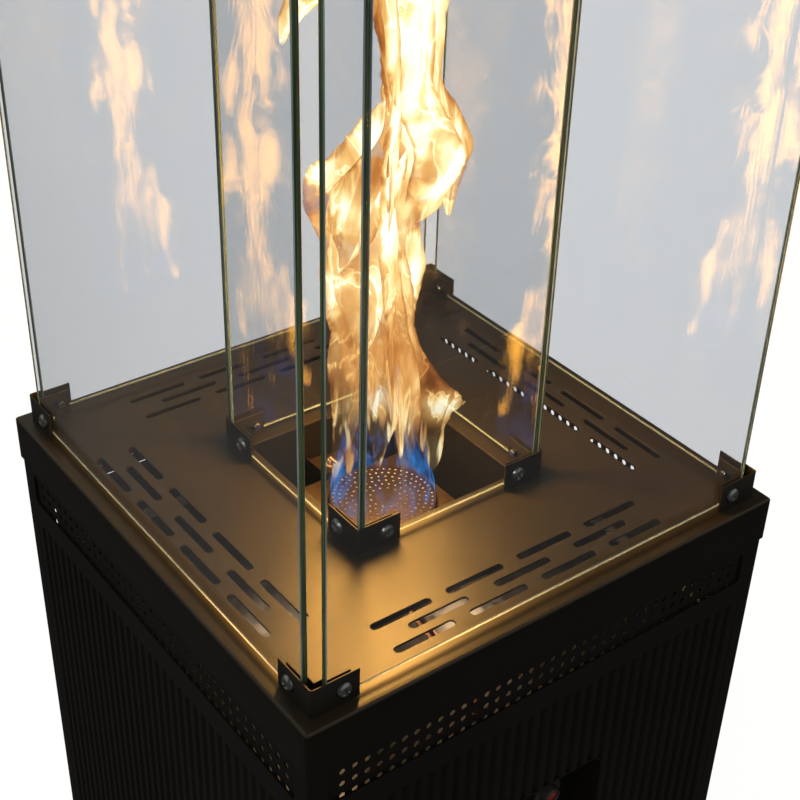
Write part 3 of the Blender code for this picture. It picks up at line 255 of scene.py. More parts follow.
def scaled(colour, factor, more=0.0):
    return tuple(factor * c + more for c in colour)


def mirrored_rays(f):
    """1 for rays that have been reflected on their way, and 0 for others."""
    return f.node("ShaderNodeLightPath", output="Glossy Depth").least(1.0)


def satin_paint(name, colour, roughness, grain=0.05, shine=0.5):
    """Smooth satin stove paint, faintly mottled, with an orange-peel skin and a little dust."""
    f = Finish(name, specular_ior_level=shine)
    mottle = f.noise(9.0, 4.0, 0.6)
    dust = f.noise(1500.0, 1.0).step(0.66, 0.74)
    base = f.mix(mottle.step(0.3, 0.75), colour, scaled(colour, 1.35))
    base = f.mix(dust * 0.35, base, scaled(colour, 0.5, 0.055))
    skin = f.noise(520.0, 3.0, 0.6)
    f.set(base_color=base, roughness=roughness + 0.1 * (f.noise(26.0, 4.0) - 0.5) + 0.12 * dust,
          normal=f.bump(skin, grain, 0.0006))
    return f.material


def textured_paint(name, colour, roughness):
    """Fine-textured powder coat: small close bumps, paler on their tops."""
    f = Finish(name, specular_ior_level=0.15)
    pips = f.noise(1300.0, 2.0, 0.6)
    cloud = f.noise(7.0, 3.0)
    base = f.mix(pips.step(0.45, 0.75) * 0.5 + cloud.step(0.4, 0.8) * 0.25,
                 colour, scaled(colour, 1.9, 0.004))
    f.set(base_color=base, roughness=roughness + 0.12 * (pips - 0.5),
          normal=f.bump(pips, 0.35, 0.0005))
    return f.material


def sheet_steel(name, colour, roughness, stretch, stain=None):
    """Bare sheet steel with fine drawn lines, cloudy reflections and a stain of heat if given."""
    f = Finish(name, metallic=1.0)
    lines = f.noise(420.0, 3.0, 0.7, stretch=stretch)
    cloud = f.noise(38.0, 4.0, 0.6)
    base = f.mix(cloud.step(0.3, 0.75), scaled(colour, 0.78), colour)
    if stain:
        base = f.mix(f.noise(24.0, 4.0, 0.55).step(0.42, 0.68) * 0.7, base, stain)
    f.set(base_color=base, roughness=roughness + 0.2 * (cloud - 0.5) + 0.1 * (lines - 0.5),
          normal=f.bump(lines, 0.08, 0.0004))
    return f.material


def zinc_plate(name):
    """Galvanised sheet, with the large pale crystals of its zinc, darkened by half as painted shade."""
    f = Finish(name, metallic=1.0)
    flake = f.node("ShaderNodeTexVoronoi", {"feature": "F1"},
                   {"Vector": f.place(EVEN), "Scale": 95.0}, output=1)
    tone = f.node("ShaderNodeSeparateColor", inputs={0: flake})
    # both tones are about half of bare zinc's: painted shade of the dark inside under the deck
    base = f.mix(tone, (0.15, 0.155, 0.16), (0.26, 0.265, 0.27))
    f.set(base_color=base, roughness=0.50 + 0.20 * tone)
    return f.material


def machined(name, colour, roughness):
    """Turned brass or drawn copper: fine rings round the axis and a little tarnish."""
    f = Finish(name, metallic=1.0)
    rings = f.noise(900.0, 2.0, 0.6, stretch=(0.15, 0.15, 1.0))
    tarnish = f.noise(70.0, 4.0, 0.6).step(0.45, 0.72)
    base = f.mix(tarnish * 0.6, colour, scaled(colour, 0.45))
    f.set(base_color=base, roughness=roughness + 0.25 * tarnish + 0.08 * (rings - 0.5),
          normal=f.bump(rings, 0.06, 0.0003))
    return f.material


def moulded(name, colour, roughness, grain):
    """Moulded plastic or rubber with a fine spark-eroded grain."""
    f = Finish(name)
    grit = f.noise(1800.0, 2.0, 0.6)
    cloud = f.noise(60.0, 3.0)
    base = f.mix(cloud.step(0.35, 0.7), colour, scaled(colour, 1.4, 0.003))
    f.set(base_color=base, roughness=roughness + 0.14 * (cloud - 0.5),
          normal=f.bump(grit, grain, 0.0004))
    return f.material


def ceramic(name):
    """Unglazed insulator, off-white, sooted in patches."""
    f = Finish(name)
    soot = f.noise(260.0, 4.0, 0.6).step(0.5, 0.75)
    base = f.mix(soot * 0.55, (0.22, 0.20, 0.18), (0.05, 0.042, 0.035))
    f.set(base_color=base, roughness=0.55 + 0.2 * soot, normal=f.bump(soot, 0.1, 0.0003))
    return f.material


def clear_glass(name, tint):
    """Toughened glass that lets lamps light what stands behind it."""
    f = Finish(name, base_color=tint, roughness=0.0, ior=1.5, transmission_weight=1.0,
               specular_ior_level=0.3)
    shadow = f.node("ShaderNodeLightPath", output="Is Shadow Ray")
    f.cover(shadow, f.node("ShaderNodeBsdfTransparent", inputs={0: (*tint, 1.0)}))
    return f.material


def glass_edge(name, dark, pale, roughness):
    """Ground and polished edge of float glass, streaked along its length by the grinding wheel."""
    f = Finish(name, ior=1.5, coat_weight=0.35, coat_roughness=0.05)
    streak = f.noise(160.0, 3.0, 0.6, stretch=(6.0, 6.0, 0.06))
    base = f.mix(streak.step(0.35, 0.68), dark, pale)
    f.set(base_color=base, roughness=roughness + 0.12 * streak)
    return f.material


FINISHES = {}


def finishes():
    """Every material of the heater by name, made once."""
    if FINISHES:
        return FINISHES
    paint = bpy.context.scene.heater_paint
    deck, wall = tuple(paint.deck_colour), tuple(paint.wall_colour)
    makers = {
        "satin_black": (satin_paint, deck, 0.36),
        # the folded skirts: the deck's own paint at 0.4 of its colour as painted shade, and with less
        # shine
        "skirt_black": (satin_paint, scaled(deck, 0.4), 0.42, 0.05, 0.14),
        "bracket_black": (satin_paint, scaled(deck, 0.55), 0.45, 0.12),
        "textured_black": (textured_paint, wall, 0.52),
        "well_black": (textured_paint, scaled(wall, 0.35), 0.7),
        "burner_steel": (sheet_steel, (0.095, 0.083, 0.084), 0.42, EVEN, (0.08, 0.055, 0.05)),
        "tray_steel": (sheet_steel, (0.12, 0.09, 0.06), 0.45, (1.0, 12.0, 1.0), (0.07, 0.04, 0.02)),
        "steel": (sheet_steel, (0.42, 0.42, 0.43), 0.34, (1.0, 1.0, 14.0)),
        "screw_steel": (sheet_steel, (0.30, 0.34, 0.37), 0.3, EVEN),
        # the ports' walls and floors, paler than the face: a painted glint of the flame in the ports
        "port_steel": (moulded, (0.27, 0.27, 0.29), 0.5, 0.05),
        "zinc_plate": (zinc_plate,),
        "brass": (machined, (0.62, 0.47, 0.22), 0.26),
        "copper": (machined, (0.68, 0.34, 0.20), 0.3),
        "black_plastic": (moulded, (0.02, 0.02, 0.02), 0.42, 0.2),
        "red_plastic": (moulded, (0.17, 0.012, 0.009), 0.3, 0.05),
        "mark_white": (moulded, (0.70, 0.70, 0.68), 0.45, 0.05),
        "rubber": (moulded, (0.015, 0.015, 0.015), 0.7, 0.35),
        "ceramic": (ceramic,),
        "guard_glass": (clear_glass, tuple(paint.guard_tint)),
        "chimney_glass": (clear_glass, tuple(paint.chimney_tint)),
        "glass_edge": (glass_edge, (0.012, 0.026, 0.012), (0.070, 0.105, 0.055), 0.16),
        "glass_rim": (glass_edge, (0.09, 0.125, 0.135), (0.20, 0.28, 0.31), 0.3),
    }
    for name, (maker, *values) in makers.items():
        FINISHES[name] = maker(name, *values)
    return FINISHES


def dress(finish, *nodes):
    """Gives CAD nodes one of the heater's finishes."""
    for node in nodes:
        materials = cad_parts[node].data.materials
        materials.clear()
        materials.append(finishes()[finish])


# surfaces

class Form:
    """Surfaces gathered into one piece. A face has four corners; a triangle repeats one."""

    def __init__(self):
        self.points, self.faces, self.slots, self.count = [], [], [], 0

    def add(self, points, faces, slot=0):
        points = np.asarray(points, float).reshape(-1, 3)
        self.points.append(points)
        self.faces.append(np.asarray(faces) + self.count)
        self.slots.append(np.full(len(faces), slot))
        self.count += len(points)
        return self

    def tube(self, rings, slot=0):
        """A surface through closed rings of points."""
        rings = np.asarray(rings, float)
        return self.add(rings, grid_faces(*rings.shape[:2], round_columns=True), slot)

    def fan(self, ring, middle, slot=0):
        """Triangles from the edges of a closed ring to a point in its middle."""
        n = len(ring)
        k, end = np.arange(n), np.full(n, n)
        return self.add(np.vstack([ring, [middle]]), np.column_stack([k, (k + 1) % n, end, end]), slot)

    def mapped(self, change):
        """A copy of this form with its points moved by a function."""
        other = Form()
        other.points = [change(points) for points in self.points]
        other.faces, other.slots, other.count = list(self.faces), list(self.slots), self.count
        return other

    def turned(self, degrees):
        return self.mapped(lambda points: spin(points, degrees))

    def arrays(self):
        return np.vstack(self.points), np.vstack(self.faces), np.concatenate(self.slots)


def grid_faces(rows, columns, round_rows=False, round_columns=False):
    """Corner numbers of the faces between neighbouring points of a grid."""
    r = np.arange(rows if round_rows else rows - 1)[:, None]
    c = np.arange(columns if round_columns else columns - 1)[None, :]
    nr, nc = (r + 1) % rows, (c + 1) % columns
    corners = [r * columns + c, nr * columns + c, nr * columns + nc, r * columns + nc]
    return np.stack([np.broadcast_to(k, (r.size, c.size)) for k in corners], -1).reshape(-1, 4)


def spin(points, degrees):
    """Points turned about the heater's axis."""
    a = math.radians(degrees)
    turn = np.array([[math.cos(a), -math.sin(a), 0], [math.sin(a), math.cos(a), 0], [0, 0, 1]])
    return np.asarray(points) @ turn.T


def shell(outer, inner, faces):
    """A closed sheet between two surfaces of one grid, with a rim along each free edge."""
    outer, inner = (np.asarray(side, float).reshape(-1, 3) for side in (outer, inner))
    keys = np.round(np.hstack([outer, inner]) / MERGE).astype(np.int64)
    _, first, place = np.unique(keys, axis=0, return_index=True, return_inverse=True)
    outer, inner, faces = outer[first], inner[first], place.reshape(-1)[faces]
    edges = np.stack([faces, np.roll(faces, -1, 1)], -1).reshape(-1, 2)
    edges = edges[edges[:, 0] != edges[:, 1]]
    _, where, uses = np.unique(np.sort(edges, 1), axis=0, return_index=True, return_counts=True)
    a, b = edges[where[uses == 1]].T
    n = len(outer)
    rim = np.column_stack([b, a, a + n, b + n])
    return np.vstack([outer, inner]), np.vstack([faces, faces[:, ::-1] + n, rim])


def make_piece(name, form, materials, replaces=(), body="heater", sharp=32.0):
    """Makes an object of a form, merges its seams, points its faces outwards and lets it ride."""
    points, faces, slots = form.arrays()
    keep = faces != np.roll(faces, -1, 1)
    whole = keep.sum(1) > 2
    corners = [face[kept].tolist() for face, kept in zip(faces[whole], keep[whole])]
    mesh = make_mesh(name, points.tolist(), corners, [finishes()[key] for key in materials])
    mesh.polygons.foreach_set("material_index", slots[whole].astype(np.int32))
    mesh.validate()
    bm = bmesh.new()
    bm.from_mesh(mesh)
    bmesh.ops.remove_doubles(bm, verts=bm.verts, dist=MERGE * 2)
    bmesh.ops.recalc_face_normals(bm, faces=bm.faces)
    bm.to_mesh(mesh)
    bm.free()
    mesh.shade_smooth()
    mesh.set_sharp_from_angle(angle=math.radians(sharp))
    obj = add_object(name, mesh)
    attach(obj, body)
    if replaces:
        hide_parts(*replaces)


def samples(*stations):
    """Places along a line: pairs of (end, steps) after the first end."""
    line = [np.array([stations[0]], float)]
    for end, steps in stations[1:]:
        line.append(np.linspace(line[-1][-1], end, steps + 1)[1:])
    return np.concatenate(line)


def mirrored(line):
    """A line of places from zero outwards, continued to the other side of zero."""
    return np.concatenate([-line[:0:-1], line])


def cell_ring(xs, ys):
    """The points round a cell of a grid, anticlockwise from its lowest corner."""
    sides = [(xs[:-1], np.full(len(xs) - 1, ys[0])), (np.full(len(ys) - 1, xs[-1]), ys[:-1]),
             (xs[:0:-1], np.full(len(xs) - 1, ys[-1])), (np.full(len(ys) - 1, xs[0]), ys[:0:-1])]
    return np.concatenate([np.stack(side, -1) for side in sides])


def holed_cell(xs, ys, centre, core, radius, soft):
    """The surface between a rounded hole and the cell round it, and its depth at the hole's edge.

    hole(u) is the point of the hole nearest to cell(u): the cell's point clamped into the hole's
    core rectangle, then moved out by the radius. P(u, v) = (1 - v) hole(u) + v cell(u). The first
    ring is let down by the softness and the next two stand back by it, which rounds the edge, and
    the fourth keeps the flat beyond it flat.
    """
    ring = cell_ring(xs, ys)
    near = centre + np.clip(ring - centre, -np.asarray(core), core)
    away = ring - near
    away /= np.linalg.norm(away, axis=1, keepdims=True)
    out = radius + soft * np.array([0.0, 0.35, 1.0, 1.7])[:, None, None]
    rings = np.concatenate([near + away * out, ring[None]])
    depth = np.repeat([soft, 0.3 * soft, 0.0, 0.0, 0.0], len(ring)).reshape(5, -1)
    return rings, depth


def hole_part(rings, depth):
    """The rings round a hole as plane points, depths and faces."""
    return rings.reshape(-1, 2), depth.ravel(), grid_faces(*depth.shape, round_columns=True)


def joined(parts):
    """Several parts of plane points, depths and faces as one."""
    planes, depths, faces = zip(*parts)
    starts = np.cumsum([0, *map(len, planes)])
    return (np.vstack(planes), np.concatenate(depths),
            np.vstack([cells + start for cells, start in zip(faces, starts)]))


def plain_cells(xs, ys, *gaps):
    """The part of a grid's cells outside the gaps, which are given as (x0, y0, x1, y1)."""
    points = np.stack(np.meshgrid(xs, ys), -1).reshape(-1, 2)
    faces = grid_faces(len(ys), len(xs))
    middle = points[faces].mean(1)
    inside = np.zeros(len(faces), bool)
    for x0, y0, x1, y1 in gaps:
        inside |= ((middle[:, 0] > x0) & (middle[:, 0] < x1)
                   & (middle[:, 1] > y0) & (middle[:, 1] < y1))
    return points, np.zeros(len(points)), faces[~inside]


def raised(plane, height):
    """Plane points with a height, or with one each."""
    return np.column_stack([plane, height + np.zeros(len(plane))])


def between(line, low, high):
    """The part of a line of places from low to high, both ends in it."""
    return line[(line > low - MERGE) & (line < high + MERGE)]


def turned_points(profile, count, hollow=0.0, hollows=12):
    """A surface of revolution about +Z through points of (radius, height).

    Where the radius is over 0.9 of the widest, it is r - hollow cos^4(hollows a / 2).
    """
    a = np.linspace(0, 2 * math.pi, count, endpoint=False)[None, :]
    r, h = np.array(profile, float).T[:, :, None]
    r = np.where(r > 0.9 * r.max(), r - hollow * np.cos(hollows * a / 2) ** 4, r)
    return np.stack([r * np.cos(a), r * np.sin(a), np.broadcast_to(h, (len(h), count))], -1)


def rounded_block(form, place, halves, radius, levels, slot=0):
    """A block with rounded upright edges. Its rings are core corner + radius (cos a, sin a), drawn
    in by each level's inset, at each level's height, and a fan closes either end."""
    a = np.radians(np.arange(7.5, 360, 15))
    way = np.stack([np.cos(a), np.sin(a)], -1)
    core = np.sign(way) * (np.asarray(halves) - radius) + place
    rings = [raised(core + way * (radius - inset), height) for height, inset in levels]
    form.tube(rings, slot)
    for ring in (rings[0], rings[-1]):
        form.fan(ring, ring.mean(0), slot)


# deck

class HeaterDeck(bpy.types.PropertyGroup):
    thickness: length_property("Sheet", "Thickness of the deck's sheet", 0.0015)
    fold: length_property("Fold", "Outer radius of the fold round the deck", 0.0022)
    row_step: length_property("Row step", "From one row of slots to the next", 0.0133)
    slot_edge: length_property("Slot edge", "From the deck's edge to the outer row", 0.0324)
    slot_width: length_property("Slot width", "Width of a slot", 0.006)
    slot_length: length_property("Slot length", "Length of a slot, round ends included", 0.050)
    slot_bridge: length_property("Bridge", "Metal between slots in the outer rows", 0.014)
    middle_bridge: length_property("Middle bridge", "Metal between slots in the middle row", 0.024)
    opening: length_property("Opening", "Half the width of the square opening", 0.070)
    corner: length_property("Corner", "Corner radius of the opening", 0.003)


def slot_cells(line, sizes, rows):
    """The rings and depths round each slot of two facing sides, in the cells of a line of places.

    The middle row is 0, the outer one 1 and the inner one -1.
    """
    middle_row = DECK_HIGH.y - sizes.slot_edge - sizes.row_step
    core = ((sizes.slot_length - sizes.slot_width) / 2, 0.0)
    for way in (-1, 1):
        for row in rows:
            distance = way * (middle_row + row * sizes.row_step)
            band = between(line, distance - sizes.row_step / 2, distance + sizes.row_step / 2)
            bridge, count = (sizes.middle_bridge, 3) if row == 0 else (sizes.slot_bridge, 4)
            pitch = sizes.slot_length + bridge
            for i in range(count):
                middle = (i - (count - 1) / 2) * pitch
                along = between(line, middle - pitch / 2, middle + pitch / 2)
                yield holed_cell(along, band, (middle, distance), core, sizes.slot_width / 2,
                                 SLOT_SOFT)


def deck_top(sizes, half, rows, opening):
    """The flat of the deck: its line of places from edge to edge, and its parts."""
    first = DECK_HIGH.y - sizes.slot_edge - 2.5 * sizes.row_step
    wide = 2 * (sizes.slot_length + sizes.slot_bridge)
    narrow = 1.5 * (sizes.slot_length + sizes.middle_bridge)
    limits = [first + i * sizes.row_step for i in range(4)]
    line = mirrored(samples(0.0, (narrow / 3, 11), (wide / 2, 8), (FIELD, 5), (narrow, 9), (wide, 5),
                            (limits[0], 2), *((limit, 4) for limit in limits[1:]), (half, 3)))
    gaps = [(-FIELD, -FIELD, FIELD, FIELD)] if opening else []
    for way in (-1, 1):
        for row in rows:
            reach = narrow if row == 0 else wide
            low, high = sorted((way * limits[row + 1], way * limits[row + 2]))
            gaps += [(-reach, low, reach, high), (low, -reach, high, reach)]
    parts = [plain_cells(line, line, *gaps)]
    for swapped in (False, True):
        parts += [hole_part(rings[..., ::-1] if swapped else rings, depth)
                  for rings, depth in slot_cells(line, sizes, rows)]
    if opening:
        core = sizes.opening - sizes.corner
        square = between(line, -FIELD, FIELD)
        parts.append(hole_part(*holed_cell(square, square, (0.0, 0.0), (core, core), sizes.corner,
                                           OPENING_SOFT)))
    return line, parts


def lid_form(sizes, top, bottom, rows=(-1, 0, 1), opening=True):
    """A flat sheet folded down all round, with rows of slots and a square opening where asked.

    At an angle a of the fold the path is base + radius sin a outwards, at top - fold + radius cos a.
    """
    half = DECK_HIGH.x - sizes.fold
    line, parts = deck_top(sizes, half, rows, opening)
    plane, depth, cells = joined(parts)
    base, normal = square_path(line, half, 5)
    angles = np.radians(np.linspace(0, 90, 7))
    drops = samples(0.0, (top - sizes.fold - bottom, 3))[1:]
    surfaces = []
    for radius, face in ((sizes.fold, depth), (sizes.fold - sizes.thickness, sizes.thickness)):
        places = [(radius * np.sin(a), radius * np.cos(a)) for a in angles]
        places += [(radius, -drop) for drop in drops]
        sides = [raised(base + normal * out, top - sizes.fold + up) for out, up in places]
        surfaces.append(np.vstack([raised(plane, top - face), *sides]))
    fold = grid_faces(len(angles) + len(drops), len(base), round_columns=True)
    points, faces = shell(*surfaces, np.vstack([cells, fold + len(plane)]))
    # faces below the fold are the skirt, in the second slot, which takes a darker copy of the paint as
    # painted shade
    skirt = points[faces][..., 2].mean(1) < top - sizes.fold
    return Form().add(points, faces[~skirt]).add(points, faces[skirt], 1)


def square_path(line, half, steps):
    """Points round a square with their outward directions, which turn through each corner."""
    turn = np.radians(np.linspace(-90, 0, steps + 1)[1:-1])
    base = np.vstack([np.column_stack([line, np.full(len(line), -half)]),
                      np.tile([half, -half], (len(turn), 1))])
    normal = np.vstack([np.tile([0.0, -1.0], (len(line), 1)),
                        np.column_stack([np.cos(turn), np.sin(turn)])])
    bases, normals = [base], [normal]
    for store in (bases, normals):
        for _ in range(3):
            store.append(np.column_stack([-store[-1][:, 1], store[-1][:, 0]]))
    return np.vstack(bases), np.vstack(normals)


class HEATER_OT_deck(bpy.types.Operator):
    """Folded deck with its slots and square opening"""
    bl_idname = "heater.deck"
    bl_label = "Deck"

    def execute(self, context):
        form = lid_form(context.scene.heater_deck, DECK_HIGH.z, DECK_LOW.z)
        make_piece("deck_sheet", form, ["satin_black", "skirt_black"], ["deck"],
                   sharp=SHEET_SHARP)
        return {"FINISHED"}


# vent strips

class HeaterVents(bpy.types.PropertyGroup):
    pitch: length_property("Pitch", "From one hole to the next along a row", 0.010)
    row_step: length_property("Row step", "From one row of holes to the next", 0.011)
    radius: length_property("Radius", "Radius of a hole", 0.0025)


def vent_line(low, ends, high):
    """Places from low to high: three to each step between the ends, and a plain margin beyond."""
    thirds = [np.linspace(a, b, 4)[:-1] for a, b in zip(ends, ends[1:])]
    return np.concatenate([[low], *thirds, [ends[-1], high]])


def vent_form(sizes):
    """A perforated strip: three rows of holes, each in its own cell of the grid."""
    half = STRIP_HIGH.x
    count = 2 * int((half - sizes.pitch / 2) / sizes.pitch) - 1
    columns = (np.arange(count + 1) - count / 2) * sizes.pitch
    rows = DECK_HIGH.z - VENT_DROP - sizes.row_step * np.arange(4)[::-1]
    xs = vent_line(-half, columns, half)
    ys = vent_line(STRIP_LOW.z, rows, STRIP_HIGH.z)
    parts = [plain_cells(xs, ys, (columns[0], rows[0], columns[-1], rows[-1]))]
    for a, b in zip(columns, columns[1:]):
        for c, d in zip(rows, rows[1:]):
            rings, depth = holed_cell(between(xs, a, b), between(ys, c, d), ((a + b) / 2, (c + d) / 2),
                                      (0.0, 0.0), sizes.radius, HOLE_SOFT)
            parts.append(hole_part(rings[FEWER], depth[FEWER]))
    plane, depth, faces = joined(parts)
    outer, inner = (raised(plane, y)[:, [0, 2, 1]] for y in (STRIP_LOW.y + depth, STRIP_HIGH.y))
    return Form().add(*shell(outer, inner, faces))


class HEATER_OT_vents(bpy.types.Operator):
    """Perforated strips behind the vent windows of the four walls"""
    bl_idname = "heater.vents"
    bl_label = "Vent strips"

    def execute(self, context):
        form = vent_form(context.scene.heater_vents)
        for side, angle in SIDES.items():
            make_piece(side + "_perforated_strip", form.turned(angle), ["textured_black"],
                       [side + "_vent_strip"])
        return {"FINISHED"}


# glass

class HeaterGlass(bpy.types.PropertyGroup):
    arris: length_property("Arris", "Width of the ground arris along each edge", 0.0006)
    notch_width: length_property("Notch width", "Width of the notch for a screw", 0.0080)
    notch_top: length_property("Notch height", "Height of the notch for a screw", 0.0110)
    notch_place: length_property("Notch place", "From a bracket's corner to its screw", 0.0250)


def panel_form(low, high, sizes, corner):
    """A panel of glass carried across its width: at each place u, a closed loop along the bottom
    edge, up one face, along the top edge and down the other face, with an arris at each turn.

    The bottom edge rises over each screw as height(u) = straight sides under a half circle, and
    the top edge drops the same way.
    """
    (start, face, z0), (end, back, z1) = low, high
    place, c = corner - sizes.notch_place, sizes.arris
    r, rise = sizes.notch_width / 2, sizes.notch_top
    arc = np.radians(np.linspace(-90, 90, 9))
    notch = np.concatenate([[-r], r * np.sin(arc), [r]])
    lift = np.concatenate([[0.0], rise - r + r * np.cos(arc), [0.0]])
    us = np.concatenate([[start + c], notch - place, [0.0], notch + place, [end - c]])
    lifts = np.concatenate([[0.0], lift, [0.0], lift, [0.0]])
    loop = [(face, 0, c), (face + c, 0, 0), (back - c, 0, 0), (back, 0, c),
            (back, 1, -c), (back - c, 1, 0), (face + c, 1, 0), (face, 1, -c)]
    columns = np.stack([np.column_stack([us, np.full(len(us), y),
                                         (z1 - lifts if upper else z0 + lifts) + shift])
                        for y, upper, shift in loop])
    faces = grid_faces(len(loop), len(us), round_rows=True)
    row = faces[:, 0] // len(us)
    glass = np.isin(row, (3, 7))
    form = Form().add(columns, faces[glass], 0).add(columns, faces[~glass], 2)
    for column, x in ((0, start), (len(us) - 1, end)):
        rim = columns[:, column]
        tip = np.column_stack([np.full(len(rim), x), np.clip(rim[:, 1], face + c, back - c),
                               np.clip(rim[:, 2], z0 + c, z1 - c)])
        form.tube([rim, tip], 2)
        form.add(tip, [[0, 1, 2, 3], [0, 3, 4, 7], [7, 4, 5, 6]], 1)
    return form


class HEATER_OT_glass(bpy.types.Operator):
    """Panels of the guard and of the chimney, notched for the screws of their brackets"""
    bl_idname = "heater.glass"
    bl_label = "Glass"

    def execute(self, context):
        sizes = context.scene.heater_glass
        for kind, box, foot in (("guard", (GUARD_LOW, GUARD_HIGH), GUARD_FOOT),
                                ("chimney", (CHIMNEY_LOW, CHIMNEY_HIGH), CHIMNEY_FOOT)):
            form = panel_form(*box, sizes, -foot[0].x)
            for side, angle in SIDES.items():
                make_piece(f"{kind}_panel_{side}", form.turned(angle),
                           [kind + "_glass", "glass_edge", "glass_rim"],
                           [f"{kind}_glass_{side}"], sharp=25.0)
        return {"FINISHED"}


# brackets and screws

class HeaterBrackets(bpy.types.PropertyGroup):
    sheet: length_property("Sheet", "Thickness of a bracket's sheet", 0.0012)
    lip_wing: length_property("Lip wing", "Length of the inner lip from the corner", 0.033)
    lip_height: length_property("Lip height", "Height of the inner lip", 0.021)
    screw_height: length_property("Screw height", "Height of a screw above the deck", 0.0115)
    screw_radius: length_property("Screw head", "Radius of a screw's pan head", 0.0060)


def bracket_form(low, high, sizes):
    """A folded corner bracket: a section carried round its corner.

    The section is a list of (depth behind the outer face, height, length of wing). At depth d the
    path is the point (wing, d), then the corner (d, d) turned on an arc, and then (d, wing).
    """
    wing, tall = high.x - low.x, high.z - low.z
    seat, gap, soft = 0.0044, 0.0071, 0.0003
    outer_bend, least_bend = 0.0022, 0.0004
    t, lip, top = sizes.sheet, sizes.lip_wing, sizes.lip_height
    section = [(0.0, 0.0, wing), (0.0, tall - soft, wing), (soft, tall, wing),
               (t - soft, tall, wing), (t, tall - soft, wing), (t, seat, wing), (t, seat, lip),
               (gap, seat, lip), (gap, top - soft, lip), (gap + soft, top, lip),
               (gap + t - soft, top, lip), (gap + t, top - soft, lip),
               (gap + t, 0.0, lip), (t + soft, 0.0, lip)]
    loops = []
    arc = np.radians(np.linspace(270, 180, 6))
    for depth, height, reach in section:
        radius = max(outer_bend - depth, least_bend)
        turn = depth + radius + radius * np.stack([np.cos(arc), np.sin(arc)], -1)
        path = np.vstack([[[reach, depth]], turn, [[depth, reach]]])
        loops.append(raised(low.x + path, low.z + height))
    grid = np.stack(loops)
    form = Form().add(grid, grid_faces(*grid.shape[:2], round_rows=True))
    for end in (0, grid.shape[1] - 1):
        cap = grid[:, end]
        form.add(cap, [[0, 1, 4, 5], [1, 2, 3, 4], [0, 5, 6, 13], [13, 6, 7, 12],
                       [7, 8, 11, 12], [8, 9, 10, 11]])
    return form


def mirror_height():
    """The sum of two heights that mirror each other about the middle of the glass."""
    return GUARD_LOW.z + GUARD_HIGH.z


def screw_form(sizes):
    """A pan head with a cross recess, on its shank and a nut's tip: the head is a surface of
    revolution whose height falls inside the cross, where a recess is |x| or |y| under its width.
    """
    count, rise, rim = 32, 0.0032, 0.0004
    cross_width, cross_reach, cross_depth = 0.00085, 0.0030, 0.0014
    slope, end_slope = 0.0003, 0.0004
    share = np.array([0.0, 0.10, 0.2, 0.3, 0.42, 0.5, 0.62, 0.75, 0.86, 0.94, 0.985, 1.0])
    dome = rise * np.clip(1 - share ** 3.2, 0, 1) ** 0.55
    dome[-1] = rim
    head = turned_points(np.column_stack([share * sizes.screw_radius, dome]), count)
    plan = np.sort(np.abs(head[..., :2]), -1)
    head[..., 2] -= (cross_depth * np.clip((cross_width - plan[..., 0]) / slope, 0, 1)
                     * np.clip((cross_reach - plan[..., 1]) / end_slope, 0, 1))
    shank = turned_points([(sizes.screw_radius, 0.0), (0.003, 0.0), (0.003, -0.0115),
                           (0.0024, -0.0122), (0.0, -0.0124)], count)
    return Form().tube(np.concatenate([head, shank]))


def screws_form(box, heights, sizes):
    """Two screws through the wings of each bracket, turned a little from one another."""
    points, faces, _ = screw_form(sizes).arrays()
    form = Form()
    face = box[0].x
    place = -face - bpy.context.scene.heater_glass.notch_place
    tilt = 17
    for height in heights:
        for angle in CORNERS.values():
            for way in (-1, 1):
                x, y, z = spin(points, tilt).T
                tilt += 47
                form.add(spin(np.column_stack([way * place + x, face - z, height + y]), angle), faces)
    return form


class HEATER_OT_brackets(bpy.types.Operator):
    """Corner brackets of the glass on the deck, and the screws of all brackets"""
    bl_idname = "heater.brackets"
    bl_label = "Brackets and screws"

    def execute(self, context):
        sizes = context.scene.heater_brackets
        for kind, box in (("guard", GUARD_FOOT), ("chimney", CHIMNEY_FOOT)):
            form = bracket_form(*box, sizes)
            for corner, angle in CORNERS.items():
                make_piece(f"{kind}_corner_{corner}", form.turned(angle), ["bracket_black"],
                           [f"{kind}_bracket_{corner}"])
            height = DECK_HIGH.z + sizes.screw_height
            make_piece(kind + "_screws", screws_form(box, (height, mirror_height() - height), sizes),
                       ["screw_steel"])
        return {"FINISHED"}


# burner

class HeaterBurner(bpy.types.PropertyGroup):
    port: length_property("Port", "Radius of a port in the burner's face", 0.00095, 5)
    plain: length_property("Plain", "Radius of the plain middle of the face", 0.0095)


PORTS = (12, 20, 24, 30, 40, 48)
PORT_WALL, PORT_DEPTH = 0.0011, 0.0013


